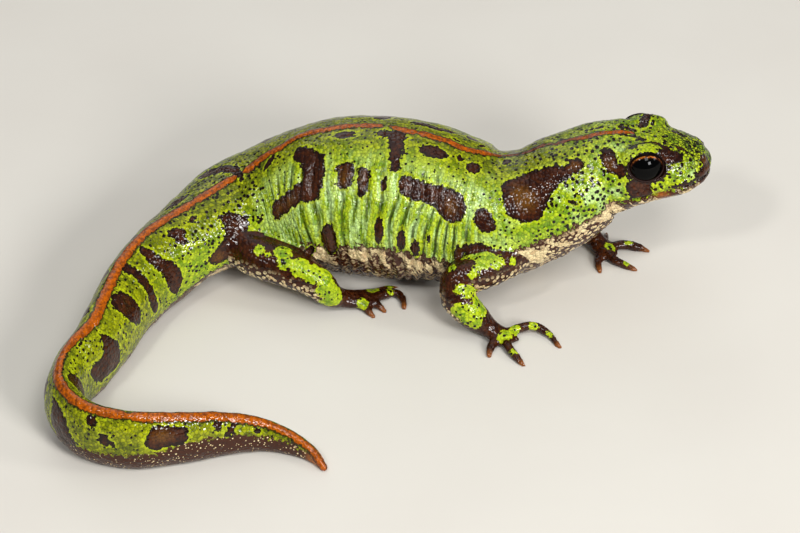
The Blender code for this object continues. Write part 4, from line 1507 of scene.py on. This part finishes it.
@dataclass(frozen=True)
class WetEye:
    """A newt's eye: a large black pupil in a dark iris flecked with copper, under a clear wet cornea."""

    pupil: str = "#020202"
    iris: str = "#2A0F08"
    copper: str = "#C8742A"
    rim: str = "#0A0505"

    def build(self) -> bpy.types.Material:
        """The material, from attributes that are 1 at the pupil's edge and at the edge of the opening.

        Returns:
            The material.
        """
        g = Graph("wet_amphibian_eye")
        at = g.add("TexCoord", {}, "Object")
        mm = g.add("VectorMath", {0: at, "Scale": 1000.0}, operation="SCALE")
        flecks = g.add("TexNoise", {"Vector": mm, "Scale": 3.2, "Detail": 3.0, "Roughness": 0.7}, "Fac")
        wavy = g.add("MapRange", {"Value": flecks, "To Min": -0.06, "To Max": 0.06})
        colour: Any = linear(self.pupil)
        for name, low, high, over in (
            ("from_pupil", 0.99, 1.05, self.iris),
            ("from_pupil", 1.04, 1.16, self.copper),
            ("share", 0.9, 0.97, self.rim),
        ):
            read = g.add("Attribute", {}, "Fac", attribute_name=name)
            place = g.add("Math", {0: read, 1: wavy}, operation="ADD")
            ins = {"Value": place, "From Min": low, "From Max": high}
            if over == self.copper:
                ins["To Max"] = g.add("MapRange", {"Value": flecks, "From Min": 0.44, "From Max": 0.58})
            step = g.add("MapRange", ins, interpolation_type="SMOOTHSTEP")
            colour = g.add("Mix", {0: step, 6: colour, 7: linear(over)}, 2, data_type="RGBA")
        shader = g.add(
            "BsdfPrincipled",
            {
                "Base Color": colour,
                "Roughness": 0.5,
                "Specular IOR Level": 0.0,
                "Coat Weight": 0.32,
                "Coat Roughness": 0.03,
                "Coat IOR": 1.38,
            },
        )
        g.add("OutputMaterial", {"Surface": shader})
        return g.material


@dataclass(frozen=True)
class LidSkin:
    """The thin, dark and wet edge of the lids, smoother than the skin about it."""

    dark: str = "#0E0504"
    light: str = "#2A120A"

    def build(self) -> bpy.types.Material:
        """The material, with a little unevenness in its colour.

        Returns:
            The material.
        """
        g = Graph("wet_lid_edge")
        at = g.add("TexCoord", {}, "Object")
        mm = g.add("VectorMath", {0: at, "Scale": 1000.0}, operation="SCALE")
        noise = g.add("TexNoise", {"Vector": mm, "Scale": 2.5}, "Fac")
        tones = {0: noise, 6: linear(self.dark), 7: linear(self.light)}
        colour = g.add("Mix", tones, 2, data_type="RGBA")
        bump = g.add("Bump", {"Strength": 0.4, "Distance": 0.05 * MM, "Height": noise})
        ins = {"Base Color": colour, "Roughness": 0.6, "Normal": bump, "Specular IOR Level": 0.15}
        shader = g.add("BsdfPrincipled", ins)
        g.add("OutputMaterial", {"Surface": shader})
        return g.material


@dataclass
class Skin:
    """The one skin over head, body, tail and limbs."""

    voxel: float = 0.275
    body_sides: int = 72
    limb_sides: int = 28
    digit_sides: int = 14
    head_end: float = 12.5
    even_steps: int = 3
    joint_steps: int = 14
    joint_reach: float = 0.9
    eye_reach: float = 1.5
    # Heights, depths and spacings of the relief in millimetres, and the nostril's place
    lip_swell: float = 0.16
    mouth_depth: float = 0.3
    nostril: tuple[float, float, float] = (29.25, 1.45, 14.85)
    nostril_rim: float = 0.1
    nostril_depth: float = 0.35
    brow_swell: float = 0.16
    throat_depth: float = 0.22
    crease_depth: float = 0.36
    crease_spacing: float = 1.12
    ridge_height: float = 0.14
    wart_height: float = 0.1
    wart_size: float = 0.62
    grain_height: float = 0.04
    grain_size: float = 0.4
    eye_sinking: float = 0.4
    # Which marks of the right side the left side shares: where they begin along the body, how far
    # round the girth they lie at least, and how much further back the left side has them
    shared_marks: tuple[float, float] = (8.0, 58.0)
    lower_mark: float = 3.4
    left_shift: float = 1.8
    surveyor: Surveyor = field(default_factory=Surveyor)

    def shells(self) -> list[Surface]:
        """Sweeps of the body, limbs and digits, with domes at their ends, and a swelling at each eye.

        Returns:
            Closed surfaces that together fill the animal.
        """
        body = self.surveyor.body
        places = np.concatenate([[0.0, 0.3], spaced(0.7, body.length, 0.6)])
        made = [closed_sweep(body.rings(places, self.body_sides))]
        for rows, digits in LIMBS:
            upper, lower = (
                track.rings(spaced(0, track.length, 0.5), self.limb_sides)
                for track in (limb_track(rows[: JOINT_ROW + 1]), limb_track(rows[JOINT_ROW:]))
            )
            made += [closed_sweep(domed(upper)), closed_sweep(domed(domed(lower), at_end=False))]
            for points in digits:
                track = digit_track(points)
                rings = track.rings(spaced(0, track.length, 0.3), self.digit_sides)
                made.append(closed_sweep(domed(rings)))
        made += [ellipsoid(seat.centre + (seat.brow, 0, 0), seat.swelling) for seat in EYE_SEATS]
        return made

    def fused(self) -> Surface:
        """The shells made one surface by a voxel remesh.

        Returns:
            The surface, as triangles.
        """
        points, triangles, first = [], [], 0
        for shell in self.shells():
            points.append(shell.points)
            triangles.append(shell.triangles + first)
            first += len(shell.points)
        mesh = bpy.data.meshes.new("shells")
        mesh.from_pydata(np.concatenate(points).tolist(), [], np.concatenate(triangles).tolist())
        obj = placed("shells", mesh)
        remesh = obj.modifiers.new("fuse", "REMESH")
        remesh.mode = "VOXEL"
        remesh.voxel_size = self.voxel
        made = bpy.data.meshes.new_from_object(obj.evaluated_get(bpy.context.evaluated_depsgraph_get()))
        made.calc_loop_triangles()
        co = np.empty(len(made.vertices) * 3, np.float32)
        made.vertices.foreach_get("co", co)
        tri = np.empty(len(made.loop_triangles) * 3, np.int32)
        made.loop_triangles.foreach_get("vertices", tri)
        surface = Surface(co.reshape(-1, 3).astype(float), tri.reshape(-1, 3).astype(np.int64))
        bpy.data.objects.remove(obj)
        bpy.data.meshes.remove(mesh)
        bpy.data.meshes.remove(made)
        return surface

    def shaped(self) -> tuple[Surface, Chart]:
        """The fused surface smoothed, finer at the head and finest round the eyes.

        Where body and limb lie close, extra steps melt the seam between them.

        Returns:
            The surface and its chart.
        """
        surface = self.fused()
        surface.relax(self.even_steps)
        chart = self.surveyor.survey(surface.points)
        near_body, near_limb = (hill(off, self.joint_reach) for off in (chart.off_body, chart.off_limb))
        surface.relax(self.joint_steps, near_body * near_limb * (chart.along > 10), keep_size=False)
        surface.refine(chart.along < self.head_end)
        surface.relax(1, self.surveyor.survey(surface.points).along < self.head_end)
        surface.refine(self.near_eyes(surface.points) < self.eye_reach)
        surface.relax(1, self.near_eyes(surface.points) < self.eye_reach + 0.1)
        return surface, self.surveyor.survey(surface.points)

    def near_eyes(self, points: np.ndarray) -> np.ndarray:
        """Share of the way to the edge of the nearest eye's opening, and far more behind the eye."""
        shares = [seat.share(points) + 9 * (seat.measure(points)[2] < 0.3) for seat in EYE_SEATS]
        return np.min(shares, axis=0)

    def over_mouth(self, points: np.ndarray) -> np.ndarray:
        """Height of each point above the line of the mouth."""
        return points[:, 2] - mouth_height(points[:, 0])

    def relief(self, surface: Surface, chart: Chart) -> np.ndarray:
        """How far each point moves out along its normal.

        Bells across a line make each groove and ridge: lips, mouth, throat fold, flank wrinkles and
        the ridge of the back. Random fields make the skin uneven, and cells its warts.

        Args:
            surface: the skin.
            chart: its coordinates.

        Returns:
            Distances in millimetres.
        """
        points = surface.points
        noise = Lattice(5)
        above = self.over_mouth(points)
        ahead = step_up(21.3, 22.6, points[:, 0]) * (chart.along < 12)
        out = self.lip_swell * (hill(above - 0.5, 0.45) + hill(above + 0.5, 0.45)) * ahead
        out -= self.mouth_depth * hill(above, 0.14) * ahead
        x, y, z = self.nostril
        for side in Side:
            away = np.linalg.norm(points - (x, HEAD_MIDDLE + side.value * y, z), axis=1)
            out += self.nostril_rim * hill(away - 0.42, 0.18) - self.nostril_depth * hill(away, 0.24)
        for seat in EYE_SEATS:
            _, up, outward = seat.measure(points)
            brow = hill(seat.share(points) - 1.4, 0.22) * step_up(0, 1.2, up)
            out += self.brow_swell * brow * (outward > 0)
        body = 1 - chart.limb
        side_girth = np.abs(chart.girth)
        throat = hill(chart.along - 12.4 + 0.08 * side_girth, 0.35) * step_up(5.5, 9, side_girth)
        out -= self.throat_depth * throat * body
        phase, depth = self.creases(points, chart)
        out -= self.crease_depth * depth * np.cos(math.pi * phase) ** 4
        out += 0.06 * noise.field_of(points * 0.8 + 3) + 0.03 * noise.field_of(points * 2.1 + 11)
        middle, _ = self.stripe_course(chart)
        out += self.ridge_height * hill(chart.girth - middle, 0.45) * step_up(11, 22, chart.along) * body
        warts = hill(noise.cells(points / self.wart_size), 0.34)
        out += self.wart_height * warts * self.warty(surface, chart)
        grains = hill(noise.cells(points / self.grain_size), 0.35)
        out += self.grain_height * grains * (1 - step_up(10, self.head_end, chart.along))
        return out

    def stripe_course(self, chart: Chart) -> tuple[np.ndarray, np.ndarray]:
        """The girth of the stripe's middle and half its width, at each point's place along the body."""
        along, middle, half = np.array(STRIPE).T
        return np.interp(chart.along, along, middle), np.interp(chart.along, along, half)

    def warty(self, surface: Surface, chart: Chart) -> np.ndarray:
        """Where pale warts stand: throat, chest and belly, and the limbs from below.

        Args:
            surface: the skin.
            chart: its coordinates.

        Returns:
            1 where they stand and 0 elsewhere, for each point.
        """
        belly = step_up(0.0, 1.0, self.below_border(chart)) * step_up(8, 12, chart.along)
        belly *= 1 - chart.limb
        lower = step_up(0.35, -0.2, surface.normals()[:, 2]) * step_up(1.6, 3.0, surface.points[:, 2])
        belly *= 1 - 0.6 * step_up(18, 23, chart.along) - 0.4 * step_up(54, 62, chart.along)
        return np.maximum(belly, lower * chart.limb)

    def creases(self, points: np.ndarray, chart: Chart) -> tuple[np.ndarray, np.ndarray]:
        """The flank's upright creases, spread along the body and bent by smooth noise.

        Args:
            points: n x 3.
            chart: their coordinates.

        Returns:
            A wave's phase, whole at each crease, and how deep the creases are, from 0 to 1.
        """
        noise = Lattice(5)
        warp = noise.field_of(points * 0.3) * 0.45 + noise.field_of(points * 0.9 + 7) * 0.12
        depth = np.clip(0.65 + 0.7 * noise.field_of(points * 0.45 + 31), 0.1, 0.9)
        return chart.along / self.crease_spacing + warp, depth * self.flank(chart)

    def flank(self, chart: Chart) -> np.ndarray:
        """1 on the wrinkled flanks between the legs, and 0 elsewhere."""
        along = step_up(19, 25, chart.along) * (1 - step_up(44, 49, chart.along))
        return along * step_up(0.14, 0.3, chart.share) * (1 - chart.limb)

    def below_border(self, chart: Chart) -> np.ndarray:
        """Distance below the border of green and belly, round the girth.

        Args:
            chart: coordinates of the points.

        Returns:
            Millimetres, below 0 on the green.
        """
        right, left = np.array(BORDER), np.array(LEFT_TAIL_BORDER)
        share = np.interp(chart.along, right[:, 0], right[:, 1])
        outer = (chart.girth < 0) & (chart.along > left[0, 0])
        share = np.where(outer, np.interp(chart.along, left[:, 0], left[:, 1]), share)
        return (chart.share - share) * chart.half

    def open_eyes(self, surface: Surface) -> None:
        """Sinks the skin behind each eye, inside the oval of its lids."""
        for seat in EYE_SEATS:
            along, up, out = seat.measure(surface.points)
            share = seat.share(surface.points)
            inside = (1 - step_up(0.98, 1.12, share)) * (out > 0.2)
            sunk = seat.dome(along, up) - self.eye_sinking
            surface.points = surface.points + seat.facing * ((sunk - out) * inside)[:, None]

    def marbling(self, points: np.ndarray, chart: Chart, at: np.ndarray) -> np.ndarray:
        """Depth inside the dark marbling: the drawn marks, and a dark ring round each eye.

        The ring is widest below the eye and narrowest above it. The left side has its own upper marks,
        the head marks of the right side, and the right side's lower marks a little further back.

        Args:
            points: n x 3.
            chart: their coordinates; not used.
            at: their places along the body and round the girth.

        Returns:
            The depth of each point.
        """

        def shared(mark: Mark) -> bool:
            """Whether a mark lies low on the trunk, where both sides have it."""
            along, girth = mark.places().T
            return np.abs(girth).mean() > self.lower_mark and trunk_start < along.min() < trunk_end

        trunk_start, trunk_end = self.shared_marks
        lower = tuple(filter(shared, RIGHT_MARKS))
        drawn = RIGHT_HEAD_MARKS + RIGHT_MARKS + LEFT_MARKS + OUTER_TAIL_MARKS
        blotch = most(drawn + mirrored(lower, self.left_shift) + mirrored(RIGHT_HEAD_MARKS, 0.0), at)
        for seat in EYE_SEATS:
            along, up, out = seat.measure(points)
            upward = up / np.maximum(np.hypot(along, up), 1e-6)
            ring = (seat.ring - 0.13 * upward - seat.share(points)) * 1.2
            blotch = np.maximum(blotch, np.where(out > 0, ring, OUTSIDE))
        return blotch

    def ridge_stripe(self, chart: Chart) -> np.ndarray:
        """Depth inside the orange stripe of the ridge, which its breaks make shallow.

        Args:
            chart: coordinates of the points.

        Returns:
            The depth of each point.
        """
        middle, width = self.stripe_course(chart)
        band = np.minimum(width - np.abs(chart.girth - middle), chart.along - STRIPE[0][0])
        for place, half, share in STRIPE_BREAKS:
            band -= 0.5 * share * hill(chart.along - place, half)
        return np.where(chart.limb > 0.5, OUTSIDE, band)

    def paint(self, obj: bpy.types.Object, surface: Surface, chart: Chart) -> None:
        """Writes what the material reads at each point of the skin.

        Args:
            obj: the skin's object.
            surface: the skin before the relief.
            chart: its coordinates.
        """
        points, along, side = surface.points, chart.along, np.abs(chart.girth)
        at = np.stack([along, chart.girth], axis=1)
        low_head = 1 - step_up(8.5, 11, along)
        below = self.below_border(chart) * (1 - low_head) - self.over_mouth(points) * low_head
        bars = most(FLANK_BARS + mirrored(FLANK_BARS, 1.3), at)
        below = np.where(bars > -0.1, np.minimum(below, -0.5), below)
        patch = np.full(len(points), OUTSIDE)
        for x, y, z, radius in LIMB_PATCHES:
            patch = np.maximum(patch, radius - np.linalg.norm(points - (x, y, z), axis=1))
        tips = np.array([digit[-1] for _, digits in LIMBS for digit in digits])
        _, from_tip = self.surveyor.nearest(points, tips, 0.0)
        specks, net = (np.interp(along, *np.array(table, float).T) for table in (SPECKS, NET))
        flank = self.flank(chart)
        tail = step_up(56, 66, along)
        # Spots of painted sheen of wet reflections: on the neck and at three small places on the head
        sheen_spots = hill(along - 13, 4) * hill(side - 7, 3) + hill(along - 8.3, 1.6) * hill(side - 2.6, 1.0)
        sheen_spots += 0.9 * hill(along - 2.2, 1.3) * hill(side - 3.7, 0.9)
        sheen_spots += 0.7 * hill(along - 10, 1.4) * hill(side - 7.4, 1.0)
        phase, depth = self.creases(points, chart)
        crown = (1 - step_up(1.5, 6.5, side)) * (0.3 + 0.7 * step_up(8, 16, along))
        lip = 0.8 * hill(along - 4.6, 0.6) * hill(side - 6.9, 0.5)
        tips_tan = 0.6 * (1 - step_up(0.2, 0.9, from_tip))
        values = {
            "blotch": np.maximum(self.marbling(points, chart, at), bars),
            "rust": most(RUST, at),
            "stripe": self.ridge_stripe(chart),
            "dull": step_up(10.5, 12, along) * (1 - step_up(17, 22, along)),
            "belly": np.clip(below, -3, 6),
            "limb": chart.limb,
            "patch": patch,
            "specks": specks * (1 - 0.45 * flank),
            "net": net * (1 - 0.75 * step_up(1.8, 4, side)),
            "olive": np.maximum(tail, crown) * (1 - chart.limb),
            "flank": flank,
            # Painted sheen: its spots, the flank and the skin near the shoulder
            "painted_sheen": np.clip(sheen_spots + 0.6 * flank + 0.5 * hill(along - 22, 3) * hill(side - 7, 3), 0, 0.9),
            "tan": np.clip(tips_tan + lip + step_up(105.5, 107.5, along), 0, 1),
            "wart": self.warty(surface, chart),
            "tail": tail,
            # Phase and depth of the creases, which place painted shade in them and a painted highlight on
            # their crests
            "phase": phase,
            "crease": depth,
        }
        values["lie"] = np.stack([along, chart.girth, 0 * along], axis=1)
        for name, numbers in values.items():
            write_attribute(obj, name, numbers)

    def build(self, finish: MoistSkin) -> bpy.types.Object:
        """The skin, which stands for every node of flesh.

        Args:
            finish: what it is made of.

        Returns:
            Its object.
        """
        surface, chart = self.shaped()
        smooth = Surface(surface.points.copy(), surface.triangles)
        relief = self.relief(surface, chart)
        surface.points = surface.points + surface.normals() * relief[:, None]
        self.open_eyes(surface)
        surface.points[:, 2] = np.maximum(surface.points[:, 2], GROUND)
        obj = surface.to_object("skin")
        self.paint(obj, smooth, chart)
        obj.data.materials.append(finish.build())
        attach(obj, ROOT)
        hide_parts(*(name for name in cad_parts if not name.startswith("eye_")))
        LOG.info("skin: %d points, %d triangles", len(surface.points), len(surface.triangles))
        return obj


@dataclass
class Eye:
    """An eyeball's dome between its lids, and the lids' edge round it."""

    seat: EyeSeat
    rings: int = 24
    sides: int = 64
    margin: float = 0.2
    depth: float = 0.6
    lid_radius: float = 0.13
    lid_sides: int = 12
    lid_gap: float = 0.08
    lid_lift: float = 0.05
    lid_tuck: float = 0.25
    pupil: tuple[float, float] = (1.5, 1.12)
    pupil_drop: float = 0.1

    def oval(self, share: Any) -> tuple[np.ndarray, np.ndarray]:
        """Points along and up on ovals round the middle of the opening.

        Args:
            share: the ovals' sizes, as shares of the opening and its margin.

        Returns:
            Two arrays of ovals x sides.
        """
        turn = np.arange(self.sides) * 2 * math.pi / self.sides
        wide, high = self.seat.opening
        share = np.asarray(share, float)[..., None]
        return (wide + self.margin) * share * np.cos(turn), (high + self.margin) * share * np.sin(turn)

    def from_pupil(self, points: np.ndarray) -> np.ndarray:
        """How far out each point is over the pupil, an oval a little below the middle: 1 at its edge."""
        along, up, _ = self.seat.measure(points)
        return np.hypot(along / self.pupil[0], (up + self.pupil_drop) / self.pupil[1])

    def build_ball(self, material: bpy.types.Material) -> bpy.types.Object:
        """The dome: ovals that widen from the middle, each lifted to the sphere, and a flat back.

        Args:
            material: the eye's.

        Returns:
            Its object.
        """
        share = np.sin(np.linspace(0.02, 0.5 * math.pi, self.rings))
        along, up = self.oval(share)
        front = self.seat.place(along, up, self.seat.dome(along, up))
        back = self.seat.place(along[-1:], up[-1:], np.full((1, self.sides), self.depth))
        surface = closed_sweep(np.concatenate([front, back]))
        obj = surface.to_object("eyeball_" + self.seat.side.word)
        write_attribute(obj, "share", self.seat.share(surface.points))
        write_attribute(obj, "from_pupil", self.from_pupil(surface.points))
        obj.data.materials.append(material)
        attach(obj, ROOT)
        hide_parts("eye_" + self.seat.side.word)
        return obj

    def build_lids(self, material: bpy.types.Material) -> bpy.types.Object:
        """The lids' edge: a round section carried along the oval, touching the eyeball.

        Args:
            material: the lids'.

        Returns:
            Its object.
        """
        turn = np.arange(self.sides * 2) * math.pi / self.sides
        wide, high = self.seat.opening
        outward = np.stack([np.cos(turn) * high, np.sin(turn) * wide], axis=1)
        outward /= np.linalg.norm(outward, axis=1)[:, None]
        along = wide * np.cos(turn) + outward[:, 0] * self.lid_gap
        up = high * np.sin(turn) + outward[:, 1] * self.lid_gap
        out = self.seat.dome(along, up) + self.lid_lift - self.lid_tuck * np.maximum(np.sin(turn), 0)
        spin = np.arange(self.lid_sides) * 2 * math.pi / self.lid_sides
        ring_along = along[:, None] + self.lid_radius * outward[:, :1] * np.cos(spin)
        ring_up = up[:, None] + self.lid_radius * outward[:, 1:] * np.cos(spin)
        ring_out = out[:, None] + self.lid_radius * np.sin(spin)
        points = self.seat.place(ring_along, ring_up, ring_out).reshape(-1, 3)
        surface = Surface(points, grid_triangles(len(turn) + 1, self.lid_sides) % len(points))
        surface.face_outward()
        obj = surface.to_object("lids_" + self.seat.side.word)
        obj.data.materials.append(material)
        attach(obj, ROOT)
        return obj


@dataclass(frozen=True)
class Lamp:
    """A soft square light: its place and side in metres, and its power in watts."""

    name: str
    place: tuple[float, float, float]
    size: float
    power: float

    def build(self) -> None:
        """The light, which faces the middle of the floor."""
        light = bpy.data.lights.new(self.name, "AREA")
        light.shape = "SQUARE"
        light.size = self.size
        light.energy = self.power
        obj = placed(self.name, light)
        obj.location = self.place
        obj.rotation_euler = (-obj.location).to_track_quat("-Z", "Y").to_euler()


@dataclass
class Studio:
    """A plain pale floor, soft light, and the camera at the photograph's angle."""

    floor_half: float = 0.6
    floor_gap: float = 0.02 * MM
    elevation: float = 38.0
    distance: float = 0.36
    lens: float = 162.0
    sky: str = "#DDE2E8"
    sky_strength: float = 0.22
    lamps: tuple[Lamp, ...] = (
        Lamp("key", (0.10, -0.25, 0.37), 0.13, 0.7),
        Lamp("second", (-0.17, -0.25, 0.34), 0.05, 0.4),
        Lamp("front", (0.235, -0.34, 0.22), 0.11, 1.35),
        Lamp("side", (0.38, -0.09, 0.24), 0.09, 0.36),
        Lamp("sky", (0.0, 0.1, 0.45), 0.4, 0.35),
        Lamp("back", (-0.12, 0.40, 0.28), 0.3, 0.35),
    )

    def build_floor(self) -> None:
        """A square of smooth, matt, pale floor."""
        h = self.floor_half
        mesh = bpy.data.meshes.new("floor")
        z = -self.floor_gap
        mesh.from_pydata([(-h, -h, z), (h, -h, z), (h, h, z), (-h, h, z)], [], [(0, 1, 2, 3)])
        obj = placed("floor", mesh)
        g = Graph("matt_pale_floor")
        noise = g.add("TexNoise", {"Scale": 60.0, "Detail": 4.0}, "Fac")
        colour = g.add("Mix", {0: noise, 6: linear("#D6D0C6"), 7: linear("#DEDAD0")}, 2, data_type="RGBA")
        shader = g.add("BsdfPrincipled", {"Base Color": colour, "Roughness": 0.75})
        g.add("OutputMaterial", {"Surface": shader})
        mesh.materials.append(g.material)

    def build_camera(self) -> None:
        """The camera, which looks along +Y and down by its elevation at the drawing frame's origin."""
        camera = bpy.data.cameras.new("camera")
        camera.lens = self.lens
        camera.sensor_width = 36.0
        camera.clip_start = 0.01
        camera.clip_end = 10.0
        obj = placed("camera", camera)
        angle = math.radians(self.elevation)
        x, y, z = in_metres((0.0, 0.0, 0.0))
        obj.location = (x, y - self.distance * math.cos(angle), z + self.distance * math.sin(angle))
        obj.rotation_euler = (math.radians(90.0 - self.elevation), 0.0, 0.0)
        bpy.context.scene.camera = obj

    def build(self) -> None:
        """Floor, lights, surroundings and camera."""
        self.build_floor()
        for lamp in self.lamps:
            lamp.build()
        world = bpy.data.worlds.new("studio")
        world.use_nodes = True
        background = world.node_tree.nodes["Background"]
        background.inputs["Color"].default_value = linear(self.sky)
        background.inputs["Strength"].default_value = self.sky_strength
        bpy.context.scene.world = world
        bpy.context.scene.view_settings.view_transform = "Standard"
        self.build_camera()


def main() -> None:
    """Builds the studio, the skin and the eyes, and reports each piece."""
    logging.basicConfig(level=logging.INFO, format="%(name)s: %(message)s")
    Studio().build()
    Skin().build(MoistSkin())
    eye_finish = WetEye().build()
    lid_finish = LidSkin().build()
    for seat in EYE_SEATS:
        eye = Eye(seat)
        eye.build_ball(eye_finish)
        eye.build_lids(lid_finish)
        LOG.info("eye and lids: %s", seat.side.word)


if __name__ == "__main__":
    main()
